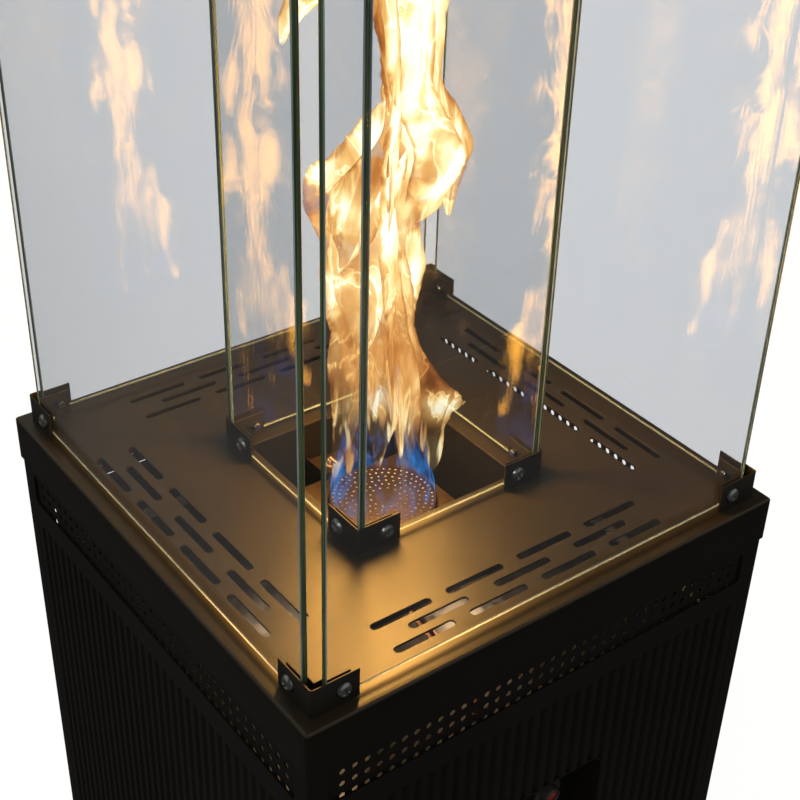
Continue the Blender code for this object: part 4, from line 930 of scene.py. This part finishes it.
def burner_form(sizes):
    """The burner's head: a face of six rings of ports over a drum, a neck and a bell.

    Each port is a hole in its own cell of (angle, radius); the cell's surface is worked out on
    lengths along its ring and then bent round: x = r cos a, y = r sin a.
    """
    radius, top = BURNER_HIGH.x, BURNER_HIGH.z
    turns = 240
    ring = np.linspace(0, 2 * math.pi, turns + 1)
    edges = np.linspace(sizes.plain, radius - 0.0012, len(PORTS) + 1)
    form = Form()
    for count, inner, outer in zip(PORTS, edges, edges[1:]):
        middle = (inner + outer) / 2
        step = turns // count
        for i in range(count):
            arc = ring[i * step:(i + 1) * step + 1] * middle
            rings, depth = holed_cell(arc, np.array([inner, middle, outer]), (arc.mean(), middle),
                                      (0.0, 0.0), sizes.port, HOLE_SOFT)
            rings = np.concatenate([rings[:1], rings[FEWER]])
            depth = np.concatenate([depth[:1] + PORT_WALL, depth[FEWER]])
            angle, r = rings[..., 0] / middle, rings[..., 1]
            surface = np.stack([r * np.cos(angle), r * np.sin(angle), top - depth], -1)
            # the port's wall and floor take the second slot, the painted glint
            form.tube(surface[:2], 1)
            form.tube(surface[1:])
            turn = arc.mean() / middle
            floor = [middle * math.cos(turn), middle * math.sin(turn), top - PORT_DEPTH]
            form.fan(surface[0], floor, 1)
    plain = [(0.0, top), (0.3 * sizes.plain, top), (0.7 * sizes.plain, top + 0.00005),
             (sizes.plain, top)]
    drum = [(edges[-1], top), (radius - 0.0006, top - 0.00015), (radius - 0.00015, top - 0.0006),
            (radius, top - 0.0012), (radius, top - 0.0040), (radius - 0.0004, top - 0.0045),
            (0.0135, top - 0.0045), (0.013, top - 0.005), (0.013, BURNER_LOW.z), (0.0, BURNER_LOW.z)]
    for profile in (plain, drum):
        form.tube(turned_points(profile, turns))
    return form


class HEATER_OT_burner(bpy.types.Operator):
    """Burner head with its ports, its tray, the ignition bracket and the well round them"""
    bl_idname = "heater.burner"
    bl_label = "Burner"

    def execute(self, context):
        make_piece("burner_face", burner_form(context.scene.heater_burner),
                   ["burner_steel", "port_steel"], ["burner_head"])
        dress("tray_steel", "burner_tray", "pilot_bracket")
        dress("well_black", "burner_well")
        dress("ceramic", "spark_electrode")
        dress("steel", "thermocouple", "mixing_tube")
        return {"FINISHED"}


# flame

class HeaterFlame(bpy.types.PropertyGroup):
    bearing: angle_property("Bearing", "Direction across the widest view of the flame", -37.5)
    glow: FloatProperty(name="Glow", description="Strength of the flame's light", default=2.1)
    mirror: FloatVectorProperty(name="Mirrored glow", size=3, default=(7.6, 3.3, 0.35),
                                description="How much brighter the flame is in reflections")


# Each sheet of the flame: its turn from the widest view in degrees, and its outline in mm as
# (height above the burner, left edge, right edge, distance behind the axis).
TONGUES = {
    "crest": (4, (
        (230, -8, 6, 0), (248, -2, 32, -2), (272, 3, 46, -3), (292, 6, 55, -4), (308, 2, 50, -4),
        (324, -4, 42, -3), (341, -8, 31, -2), (366, -10, 31, 0), (386, -15, 31, 1), (412, -20, 33, 2),
        (442, -22, 30, 3), (480, -16, 21, 3), (520, -12, 11, 2), (560, -7, -4, 1))),
    "crest_heart": (-3, (
        (258, 8, 30, -8), (276, 12, 42, -8), (296, 14, 48, -8), (320, 4, 38, -8), (345, -3, 26, -6),
        (380, -6, 26, -5), (420, -14, 26, -4), (460, -15, 19, -3), (510, -9, 8, -2), (545, -6, -3, 0))),
    "left_lobe": (-6, (
        (194, -42, -34, -2), (212, -41, -22, -3), (234, -49, -10, -4), (254, -57, -2, -4),
        (272, -53, 4, -4), (290, -42, 7, -3), (304, -30, 7, -2), (318, -18, 3, -1), (330, -8, -2, 0))),
    "body": (0, (
        (92, -26, -10, 4), (118, -34, 2, 4), (146, -34, 14, 3), (176, -42, 18, 2), (196, -42, 25, 2),
        (216, -36, 22, 1), (240, -38, 20, 0), (262, -34, 28, 0), (284, -22, 34, 0), (304, -12, 34, 0),
        (322, -10, 24, 0), (345, -8, 10, 0), (362, -4, 0, 0))),
    "right_skirt": (6, (
        (24, 33, 36, -4), (40, 30, 41, -5), (56, 22, 42, -6), (70, 16, 42, -7), (82, 12, 48, -8),
        (92, 6, 58, -8), (100, 0, 53, -8), (112, -4, 42, -7), (128, -4, 30, -5), (148, -6, 20, -3),
        (172, -8, 18, -2), (200, -4, 15, -1), (226, -2, 6, 0))),
    "left_skirt": (-8, (
        (12, -37, -35, -4), (36, -38, -28, -5), (64, -36, -18, -5), (92, -38, -10, -4), (118, -40, -2, -3),
        (146, -38, 2, -2), (172, -43, 2, -1), (196, -42, -4, 0), (218, -38, -20, 0))),
    "middle_lick": (0, (
        (18, -8, -6, 8), (44, -13, 0, 8), (72, -16, 8, 7), (100, -16, 8, 6), (130, -14, 10, 5),
        (160, -10, 10, 4), (190, -6, 4, 3))),
    "low_lick": (10, (
        (32, 11, 13, 9), (56, 7, 19, 9), (84, 6, 22, 8), (108, 8, 19, 6), (128, 10, 13, 5))),
    "near_lick": (-12, (
        (24, -24, -22, -12), (50, -26, -15, -12), (78, -24, -9, -11), (104, -20, -7, -10),
        (132, -15, -9, -8))),
    "spur": (0, (
        (248, 38, 40, -6), (262, 33, 43, -6), (278, 27, 46, -6), (292, 26, 50, -5), (306, 34, 48, -4))),
    "loop": (-4, (
        (360, -69, -67, 4), (376, -70, -59, 5), (392, -66, -44, 5), (406, -56, -24, 5), (420, -40, -4, 4),
        (434, -24, 8, 3), (450, -8, 14, 2), (466, 5, 11, 1))),
    "crossing_crest": (84, (
        (236, -20, -8, 0), (262, -28, 14, 0), (290, -34, 22, 0), (324, -20, 26, 0), (366, -16, 24, 0),
        (410, -26, 18, 0), (450, -22, 12, 0), (500, -10, 12, 0), (552, 0, 4, 0))),
    "crossing_body": (102, (
        (60, -14, 2, 0), (110, -22, 14, 0), (150, -18, 22, 0), (196, -30, 20, 0), (240, -24, 30, 0),
        (280, -10, 36, 0), (320, -12, 22, 0), (356, -2, 6, 0))),
    "crossing_skirt": (70, (
        (14, 30, 34, 0), (44, 20, 38, 0), (80, 4, 44, 0), (112, -6, 34, 0), (150, -12, 16, 0),
        (190, -8, 6, 0))),
    "crossing_foot": (118, (
        (16, -34, -30, 0), (50, -36, -18, 0), (90, -40, -6, 0), (130, -34, 4, 0), (176, -20, 6, 0),
        (214, -14, -6, 0))),
}


def smooth_path(points, count):
    """A Catmull-Rom curve through the points given, at evenly spaced places along it."""
    p = np.asarray(points, float)
    p = np.vstack([2 * p[0] - p[1], p, 2 * p[-1] - p[-2]])
    u = np.linspace(0, len(p) - 3, count)
    i = np.minimum(u.astype(int), len(p) - 4)
    t = (u - i)[:, None]
    a, b, c, d = p[i], p[i + 1], p[i + 2], p[i + 3]
    return 0.5 * (2 * b + (c - a) * t + (2 * a - 5 * b + 4 * c - d) * t ** 2
                  + (3 * b - a - 3 * c + d) * t ** 3)


def tongue(turn, outline, bearing, number):
    """A curled sheet: P(s, t) = centre(s) + t w(s) across + curl (t^2 - 1/3) w(s) away."""
    rows, columns, widen, sway, curl = 80, 15, 1.10, 0.22, 0.45
    height, left, right, behind = smooth_path(outline, rows).T[..., None] / 1000
    aside, half = (left + right) / 2, np.maximum(right - left, 0.0008) / 2 * widen
    t, along = np.linspace(-1, 1, columns), np.linspace(0, 1, rows)[:, None]
    way = bearing + math.radians(turn)
    angle = way + sway * np.sin(along * 5 + number * 1.7)
    across, away = t * half, curl * (t ** 2 - 1 / 3) * half * math.cos(number * 2.1)
    x = aside * math.cos(way) - behind * math.sin(way) + across * np.cos(angle) - away * np.sin(angle)
    y = aside * math.sin(way) + behind * math.cos(way) + across * np.sin(angle) + away * np.cos(angle)
    return [np.stack(np.broadcast_arrays(*parts), -1)
            for parts in ((x, y, BURNER_HIGH.z + height), (aside + across, height, 0.37 * number),
                          (t, along, 0.0))]


def foot_ring(bearing, reach, lean, tall, keep):
    """A ragged collar above the burner's rim; keep(beside, away) is the share that shows."""
    angles = np.linspace(0, 2 * math.pi, 96, endpoint=False)
    rise = np.linspace(0, 1, 16)[:, None]
    kept = keep(np.cos(angles - bearing) ** 2, np.maximum(np.sin(angles - bearing), 0))
    ring = reach + 0.003 * np.sin(3 * angles + 1) * rise - lean * rise ** 2
    height = 0.002 + rise * (tall + 0.012 * np.sin(5 * angles) + 0.008 * np.sin(11 * angles + 2))
    return [np.stack(np.broadcast_arrays(*parts), -1)
            for parts in ((ring * np.cos(angles), ring * np.sin(angles), BURNER_HIGH.z + height),
                          (reach * np.cos(angles), height, reach * np.sin(angles)),
                          (0.0, rise, kept))]


def make_sheet(name, surfaces, material, closed=False):
    """One object of open sheets, with the attributes lick and edge at their points."""
    points, licks, edges = (np.concatenate([grid.reshape(-1, 3) for grid in grids])
                            for grids in zip(*surfaces))
    faces = grid_faces(*surfaces[0][0].shape[:2], round_columns=closed)
    count = len(points) // len(surfaces)
    faces = np.vstack([faces + i * count for i in range(len(surfaces))])
    mesh = make_mesh(name, points.tolist(), faces.tolist(), [material])
    for key, values in (("lick", licks), ("edge", edges)):
        layer = mesh.attributes.new(key, "FLOAT_VECTOR", "POINT")
        layer.data.foreach_set("vector", values.astype(np.float32).ravel())
    mesh.shade_smooth()
    obj = add_object(name, mesh)
    obj.visible_shadow = obj.visible_diffuse = False
    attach(obj, "heater")


def flame_material(name, strength, mirror, blue=False):
    """Burning gas in thin sheets: torn edges that glow, orange within and white hot higher up.

    The attribute lick holds (across, height, number of the sheet), in metres, and the attribute
    edge holds (across from -1 to 1, along from 0 to 1, the share of the blue that is kept).
    """
    f = Finish(name, base_color=BLACK, roughness=1.0, specular_ior_level=0.0)
    lick = f.node("ShaderNodeAttribute", {"attribute_name": "lick"}, output=1)
    edge = f.node("ShaderNodeAttribute", {"attribute_name": "edge"}, output=1)
    side = f.node("ShaderNodeSeparateXYZ", inputs={0: lick})
    height = side.outlet("Y")
    across = f.node("ShaderNodeSeparateXYZ", inputs={0: edge})
    along = across.outlet("Y")
    long, longer, longest = (f.node("ShaderNodeMapping", inputs={0: lick, 3: (1.0, share, 1.0)})
                             for share in (0.75, 0.36, 0.15))
    big = f.noise(17.0, 2.0, 0.5, at=long, warp=0.4)
    small = f.noise(60.0, 3.0, 0.55, at=longer, warp=1.4)
    veins = f.noise(36.0, 3.0, 0.55, at=longer, warp=1.1)
    hollows = f.noise(27.0, 2.0, 0.5, at=long, warp=0.9).step(0.52, 0.62)
    patches = f.noise(20.0, 1.0, 0.4, at=long, warp=0.6)
    body = 1.0 - abs(across + (big - 0.5) * 0.80 + (small - 0.5) * 0.55)
    if blue:
        heat = small + 0.3 * (1.0 - along)
        alpha = (1.0 - along).step(0.0, 0.9) * along.step(0.0, 0.08) * small.step(0.40, 0.66)
        alpha = alpha * across.outlet("Z") * 0.8
        stops = [(0.0, (0.003, 0.014, 0.08)), (0.55, (0.006, 0.070, 0.34)),
                 (1.0, (0.05, 0.34, 0.85))]
    else:
        rise = height.step(0.10, 0.29)
        low = height.step(0.125, 0.060)
        tip = height.step(0.064, 0.080) * height.step(0.116, 0.100) * side.step(0.016, 0.036)
        comb = f.noise(100.0, 2.0, 0.5, at=longest, warp=0.3).step(0.50, 0.60)
        hollow = hollows * height.step(0.12, 0.20) * height.step(0.36, 0.28)
        gap = height.step(0.084, 0.098) * height.step(0.132, 0.112)
        gap = gap * abs(side - 0.009).step(0.017, 0.005)
        core = body.step(0.02, 0.30)
        thin = veins.step(0.44, 0.62)
        threads = abs(veins - 0.51).step(0.035, 0.0)
        heat = 0.06 + 0.34 * core + 0.34 * rise + 1.0 * (veins - 0.5) + 0.5 * (small - 0.5)
        heat = heat + 1.7 * (patches - 0.47) + 0.20 * threads - 0.34 * hollow
        heat = heat + 0.20 * low * comb + tip * (0.22 * thin - 0.06)
        alpha = body.step(0.02, 0.09) * along.step(0.0, 0.05) * along.step(1.0, 0.95)
        alpha = alpha * (0.62 + 0.38 * rise + 0.25 * thin + 0.2 * threads - 0.30 * hollow).least(1.0)
        alpha = alpha * (1.0 - 0.85 * gap) * (1.0 - low * (0.93 - 0.72 * comb) * (1.0 - 0.6 * tip))
        stops = [(0.0, (0.19, 0.05, 0.006)), (0.2, (0.37, 0.125, 0.022)), (0.4, (0.51, 0.225, 0.056)),
                 (0.6, (0.68, 0.38, 0.118)), (0.8, (0.90, 0.66, 0.29)), (1.0, (1.0, 0.92, 0.66))]
    colour = f.node("ShaderNodeValToRGB", {"stops": stops}, {0: heat})
    torn = f.noise(34.0, 3.0, 0.6, at=longer, warp=1.8) + 0.34 * body
    wisps = f.mix(heat.step(0.10, 0.75) * torn.step(0.55, 0.74), BLACK, mirror)
    f.set(alpha=alpha, emission_color=f.mix(mirrored_rays(f), colour, wisps),
          emission_strength=strength)
    f.material.cycles.emission_sampling = "NONE"
    return f.material


class HEATER_OT_flame(bpy.types.Operator):
    """Flame of curled sheets above the burner, blue at its foot"""
    bl_idname = "heater.flame"
    bl_label = "Flame"

    def execute(self, context):
        sizes = context.scene.heater_flame
        hot = flame_material("flame_hot", sizes.glow, tuple(sizes.mirror))
        blue = flame_material("flame_blue", 1.6, (0.05, 0.15, 0.6), blue=True)
        for number, (name, (turn, outline)) in enumerate(TONGUES.items()):
            make_sheet("flame_" + name, [tongue(turn, outline, sizes.bearing, number)], hot)
        low = foot_ring(sizes.bearing, 0.039, 0.008, 0.046,
                        lambda beside, away: 0.14 + 0.86 * beside ** 2)
        tall = foot_ring(sizes.bearing, 0.035, 0.013, 0.086,
                         lambda beside, away: 0.08 + 0.45 * beside + 0.40 * away)
        make_sheet("flame_foot", [low, tall], blue, closed=True)
        return {"FINISHED"}


# crown, controls, cabinet

class HeaterCrown(bpy.types.PropertyGroup):
    skirt: length_property("Skirt", "Height of the tray's folded edge", 0.035)
    cover_lip: length_property("Cover's lip", "Height of the cover's folded edge", 0.012)
    post: length_property("Post", "Width of a post between tray and cover", 0.014)
    post_inset: length_property("Post inset", "From the cover's edge to a post", 0.024)


def upside_down(form, total, limit=math.inf):
    """This form mirrored in height, cut off at a height limit."""
    return form.mapped(lambda p: raised(p[:, :2], np.minimum(total - p[:, 2], limit)))


class HEATER_OT_crown(bpy.types.Operator):
    """Crown tray with its brackets, raised cover on posts, and heat baffle"""
    bl_idname = "heater.crown"
    bl_label = "Crown"

    def execute(self, context):
        deck, sizes = context.scene.heater_deck, context.scene.heater_crown
        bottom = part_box("crown_tray")[1].z - sizes.skirt
        tray = upside_down(lid_form(deck, bottom, bottom - sizes.skirt, (0,)), 2 * bottom)
        for box in (GUARD_FOOT, CHIMNEY_FOOT):
            bracket = upside_down(bracket_form(*box, context.scene.heater_brackets), mirror_height(),
                                  bottom + SUNK * deck.thickness)
            points, faces, _ = bracket.arrays()
            for angle in CORNERS.values():
                tray.add(spin(points, angle), faces, 2)
        make_piece("crown_sheet", tray, ["satin_black", "skirt_black", "bracket_black"],
                   ["crown_tray"], sharp=SHEET_SHARP)
        foot, top = (corner.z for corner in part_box("crown_cover"))
        cover = lid_form(deck, top, top - sizes.cover_lip, (), False)
        place = DECK_HIGH.x - sizes.post_inset - sizes.post / 2
        for x in (-place, place):
            for y in (-place, place):
                rounded_block(cover, (x, y), (sizes.post / 2,) * 2, BLOCK_CORNER,
                              ((foot, 0.0), (top - SUNK * deck.thickness, 0.0)), 1)
        make_piece("crown_lid", cover, ["satin_black", "skirt_black"],
                   ["crown_cover"], sharp=SHEET_SHARP)
        dress("steel", "heat_baffle")
        return {"FINISHED"}


class HeaterControls(bpy.types.PropertyGroup):
    hollow: length_property("Finger hollows", "Depth of the hollows round the knob", 0.0007, 5)
    grip: length_property("Grip", "Width of the bar across the knob", 0.006)


def put_in_front(form, low, high):
    """Lays a form that stands up along +Z in its CAD box, so that it points to -Y."""
    x, z = (low.x + high.x) / 2, (low.z + high.z) / 2
    return form.mapped(lambda p: np.column_stack([x + p[:, 0], high.y - p[:, 2], z + p[:, 1]]))


def knob_form(sizes):
    low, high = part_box("control_knob")
    radius, length = (high.x - low.x) / 2, high.y - low.y
    face, bore = length - 0.003, 0.0044
    profile = [(0, 0.011), (bore, 0.011), (bore, 0), (radius - 0.001, 0), (radius, 0.0008),
               (radius, 0.0045), (radius * 0.985, 0.0058), (radius * 0.915, face - 0.0012),
               (radius * 0.895, face - 0.0003), (radius * 0.86, face), (0, face)]
    form = Form().tube(turned_points(profile, 144, sizes.hollow))
    reach = radius * 0.9 - 0.0015
    rounded_block(form, (0, 0), (sizes.grip / 2, reach), BLOCK_CORNER,
                  ((face - 0.0004, 0), (length - 0.0007, 0), (length - 0.0001, 0.0006)))
    rounded_block(form, (0, reach * 0.62), (0.0005, reach * 0.26), 0.0004,
                  ((length - 0.0003, 0), (length, 0.0001)), 1)
    return put_in_front(form, low, high)


def button_form():
    """The igniter's cap: a black rim round a red face that is sunk a little."""
    low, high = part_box("igniter_button")
    radius, length = (high.x - low.x) / 2, high.y - low.y
    inner = radius - 0.0024
    side = [(0, 0), (radius, 0), (radius, length - 0.0016), (radius - 0.0004, length - 0.0006),
            (radius - 0.0014, length), (radius - 0.0020, length), (inner, length - 0.0004),
            (inner, length - 0.0020)]
    face = [side[-1], (0.5 * radius, length - 0.0014), (0, length - 0.0012)]
    form = Form().tube(turned_points(side, 48), 1).tube(turned_points(face, 48))
    return put_in_front(form, low, high)


class HEATER_OT_controls(bpy.types.Operator):
    """Control recess, knob, igniter and the gas train behind them"""
    bl_idname = "heater.controls"
    bl_label = "Controls"

    def execute(self, context):
        make_piece("knob", knob_form(context.scene.heater_controls), ["black_plastic", "mark_white"],
                   ["control_knob"], "knob", sharp=40.0)
        make_piece("igniter_cap", button_form(), ["red_plastic", "black_plastic"],
                   ["igniter_button"], "igniter_button", sharp=40.0)
        dress("textured_black", "control_pan")
        dress("black_plastic", "igniter_body", "tilt_switch")
        dress("brass", "gas_valve", "inlet_nipple", "injector")
        dress("copper", "gas_pipe")
        dress("steel", "valve_spindle")
        return {"FINISHED"}


class HEATER_OT_cabinet(bpy.types.Operator):
    """Walls, bottle door, floor, partition and feet"""
    bl_idname = "heater.cabinet"
    bl_label = "Cabinet"

    def execute(self, context):
        dress("textured_black", "front_wall", "left_wall", "right_wall", "rear_frame",
              "bottle_door", "base_floor")
        dress("zinc_plate", "partition")
        dress("steel", "door_pull", "pivot_pin_lower", "pivot_pin_upper")
        dress("black_plastic", "door_catch")
        low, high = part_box("foot_front_left")
        radius, tall = (high.x - low.x) / 2, high.z - low.z
        profile = [(0, 0), (radius - 0.0024, 0), (radius - 0.0008, 0.0006), (radius, 0.0020),
                   (radius, 0.0074), (radius - 0.0010, 0.0088), (radius * 0.57, 0.0102),
                   (radius * 0.5, 0.0112), (radius * 0.5, tall), (0, tall)]
        middle = [(low.x + high.x) / 2, (low.y + high.y) / 2, low.z]
        foot = Form().tube(turned_points(profile, 64) + middle)
        for corner, angle in CORNERS.items():
            make_piece("pad_" + corner, foot.turned(angle), ["rubber"], ["foot_" + corner])
        return {"FINISHED"}


# stage

class HeaterPaint(bpy.types.PropertyGroup):
    deck_colour: colour_property("Deck", "Paint of the deck and the crown", (0.0098, 0.0082, 0.0054))
    wall_colour: colour_property("Walls", "Powder coat of the cabinet", (0.0038, 0.0034, 0.0029))
    guard_tint: colour_property("Guard glass", "Tint of the outer glass", (0.858, 0.875, 0.895))
    chimney_tint: colour_property("Chimney glass", "Tint of the inner glass", (0.95, 0.955, 0.955))


class HeaterStage(bpy.types.PropertyGroup):
    place: FloatVectorProperty(name="Camera", description="Where the camera stands",
                               default=(-0.5535, -0.7412, 1.3467), subtype="TRANSLATION",
                               unit="LENGTH")
    yaw: angle_property("Yaw", "Turn of the view to the right of straight back", 37.509)
    pitch: angle_property("Pitch", "Fall of the view below level", 33.57)
    roll: angle_property("Roll", "Roll of the view", 1.722)
    lens: FloatProperty(name="Lens", description="Focal length of the camera", default=66.15,
                        subtype="DISTANCE_CAMERA")


# lamps of the flame as (height, power), and those under the deck as (x, y, z, power)
FLAME_LAMPS = ((0.73, 1.4), (0.80, 3.0), (0.88, 3.8), (0.97, 3.8))
FLAME_POWER, FLAME_RADIUS, FLAME_COLOUR = 1.16, 0.030, (1.0, 0.485, 0.11)
UNDER_LAMPS = ((-0.160, -0.150, 0.59, 0.14), (0.035, -0.07, 0.558, 0.40),
               (-0.085, 0.01, 0.558, 0.24))
UNDER_RADIUS, UNDER_COLOUR = 0.008, (1.0, 0.62, 0.32)
KEY_PLACE, KEY_TARGET, KEY_SIZE, KEY_POWER = (-2.2, -1.4, 2.6), (0, 0, 0.6), 1.6, 38.0
KEY_COLOUR = (1.0, 0.94, 0.86)
# the world's strength as light, in its pale panels and round them in reflections
SKY, SKY_COLOUR = 0.34, (1.0, 0.90, 0.72)
PANEL, DARK = 0.42, 0.05
FLOOR_REACH, FLOOR_DROP = 14.0, 0.0005


def seen_rays(f):
    """1 for rays on their way straight or through glass to the camera, and 1 after a reflection."""
    path = f.node("ShaderNodeLightPath")
    mirrored = path.outlet("Glossy Depth").least(1.0)
    direct = path.most(path.outlet("Is Transmission Ray")) * (1.0 - mirrored)
    return direct, mirrored * (1.0 - path.outlet("Diffuse Depth").least(1.0))


def make_floor():
    """A pale floor that shows the background's white to the camera and keeps the shadow."""
    f = Finish("floor", base_color=(0.80, 0.80, 0.80), roughness=0.9)
    direct, mirror = seen_rays(f)
    glow = f.node("ShaderNodeEmission", inputs={0: (*WHITE, 1.0), 1: 1.18 * direct + 0.05 * mirror})
    f.cover(0.8 * direct + 0.9 * mirror, glow)
    corners = [(x * FLOOR_REACH, y * FLOOR_REACH, -FLOOR_DROP)
               for x, y in ((-1, -1), (1, -1), (1, 1), (-1, 1))]
    mesh = make_mesh("floor", corners, [(0, 1, 2, 3)], [f.material])
    add_object("floor", mesh)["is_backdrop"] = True


def make_world():
    """White to the camera and through glass, grey as light, and in reflections two pale panels,
    behind the heater and before it, in darker surroundings."""
    world = bpy.data.worlds.new("studio")
    bpy.context.scene.world = world
    world.use_nodes = True
    f = Tree(world.node_tree)
    direct, mirror = seen_rays(f)
    way = f.node("ShaderNodeSeparateXYZ", inputs={0: f.node("ShaderNodeTexCoord", output=0)})
    behind = abs(way * -0.45 + way.outlet("Y") * 0.9).step(0.12, 0.62)
    behind = behind * way.outlet("Z").step(0.0, 0.28)
    strength = SKY + (1.0 - SKY) * direct + (PANEL * behind + DARK - SKY) * mirror
    f.feed(world.node_tree.nodes["Background"], {0: f.mix(direct, SKY_COLOUR, WHITE), 1: strength})


def make_lamp(kind, name, place, size, power, colour):
    """A lamp: a disk that reflections don't show, or a ball inside the heater, which lights nothing
    that is seen in a reflection."""
    lamp = bpy.data.lights.new(name, kind)
    lamp.energy, lamp.color = power, colour
    obj = add_object(name, lamp)
    obj.location = place
    if kind == "AREA":
        lamp.shape, lamp.size = "DISK", size
        obj.rotation_euler = (Vector(KEY_TARGET) - obj.location).to_track_quat("-Z", "Y").to_euler()
        obj.visible_glossy = False
        return
    lamp.shadow_soft_size = size
    lamp.use_nodes = True
    f = Tree(lamp.node_tree)
    f.feed(lamp.node_tree.nodes["Emission"], {1: 1.0 - mirrored_rays(f)})
    obj.visible_transmission = obj.visible_camera = False


def make_camera(sizes):
    """The camera, with its axes worked out from yaw, pitch and roll."""
    camera = bpy.data.cameras.new("camera")
    camera.lens, camera.sensor_width, camera.clip_start = sizes.lens, 36.0, 0.05
    forward = Vector((math.sin(sizes.yaw) * math.cos(sizes.pitch),
                      math.cos(sizes.yaw) * math.cos(sizes.pitch), -math.sin(sizes.pitch)))
    right = forward.cross(Vector((0, 0, 1))).normalized()
    up = right.cross(forward)
    c, s = math.cos(sizes.roll), math.sin(sizes.roll)
    axes = Matrix((c * right + s * up, c * up - s * right, -forward)).transposed().to_4x4()
    obj = add_object("camera", camera)
    obj.matrix_world = Matrix.Translation(sizes.place) @ axes
    bpy.context.scene.camera = obj


class HEATER_OT_stage(bpy.types.Operator):
    """Floor, studio light and the camera"""
    bl_idname = "heater.stage"
    bl_label = "Stage"

    def execute(self, context):
        context.scene.view_settings.view_transform = "Standard"
        make_floor()
        make_world()
        make_lamp("AREA", "key_lamp", KEY_PLACE, KEY_SIZE, KEY_POWER, KEY_COLOUR)
        for number, (height, power) in enumerate(FLAME_LAMPS):
            make_lamp("POINT", f"flame_lamp_{number}", (0.0, 0.0, height), FLAME_RADIUS,
                      FLAME_POWER * power, FLAME_COLOUR)
        for number, (*place, power) in enumerate(UNDER_LAMPS):
            make_lamp("POINT", f"under_deck_lamp_{number}", place, UNDER_RADIUS, power,
                      UNDER_COLOUR)
        make_camera(context.scene.heater_stage)
        return {"FINISHED"}


# panel and running

STEPS = ("stage", "deck", "vents", "glass", "brackets", "burner", "flame", "crown", "controls",
         "cabinet")
GROUPS = {"heater_" + group.__name__.removeprefix("Heater").lower(): group
          for group in (HeaterDeck, HeaterVents, HeaterGlass, HeaterBrackets, HeaterBurner,
                        HeaterFlame, HeaterCrown, HeaterControls, HeaterPaint, HeaterStage)}


class HEATER_PT_panel(bpy.types.Panel):
    """Sizes and colours of the heater, and a button for each of its steps"""
    bl_label = "Heater"
    bl_idname = "HEATER_PT_panel"
    bl_space_type = "VIEW_3D"
    bl_region_type = "UI"
    bl_category = "Heater"

    def draw(self, context):
        for step in STEPS:
            self.layout.operator("heater." + step)
        for name in GROUPS:
            group = getattr(context.scene, name)
            column = self.layout.column(align=True)
            for key in group.__annotations__:
                column.prop(group, key)


OPERATORS = (HEATER_OT_stage, HEATER_OT_deck, HEATER_OT_vents, HEATER_OT_glass,
             HEATER_OT_brackets, HEATER_OT_burner, HEATER_OT_flame, HEATER_OT_crown,
             HEATER_OT_controls, HEATER_OT_cabinet, HEATER_PT_panel)


def register():
    for group in (*GROUPS.values(), *OPERATORS):
        bpy.utils.register_class(group)
    for name, group in GROUPS.items():
        setattr(bpy.types.Scene, name, PointerProperty(type=group))


def unregister():
    for name in GROUPS:
        delattr(bpy.types.Scene, name)
    for group in (*OPERATORS, *GROUPS.values()):
        bpy.utils.unregister_class(group)


def main():
    register()
    for step in STEPS:
        getattr(bpy.ops.heater, step)()
    boxes = {"cad": CAD_BOX, "visual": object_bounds()}
    ({key: [[float(c) for c in corner] for corner in box]
               for key, box in boxes.items()})


if __name__ == "__main__":
    main()
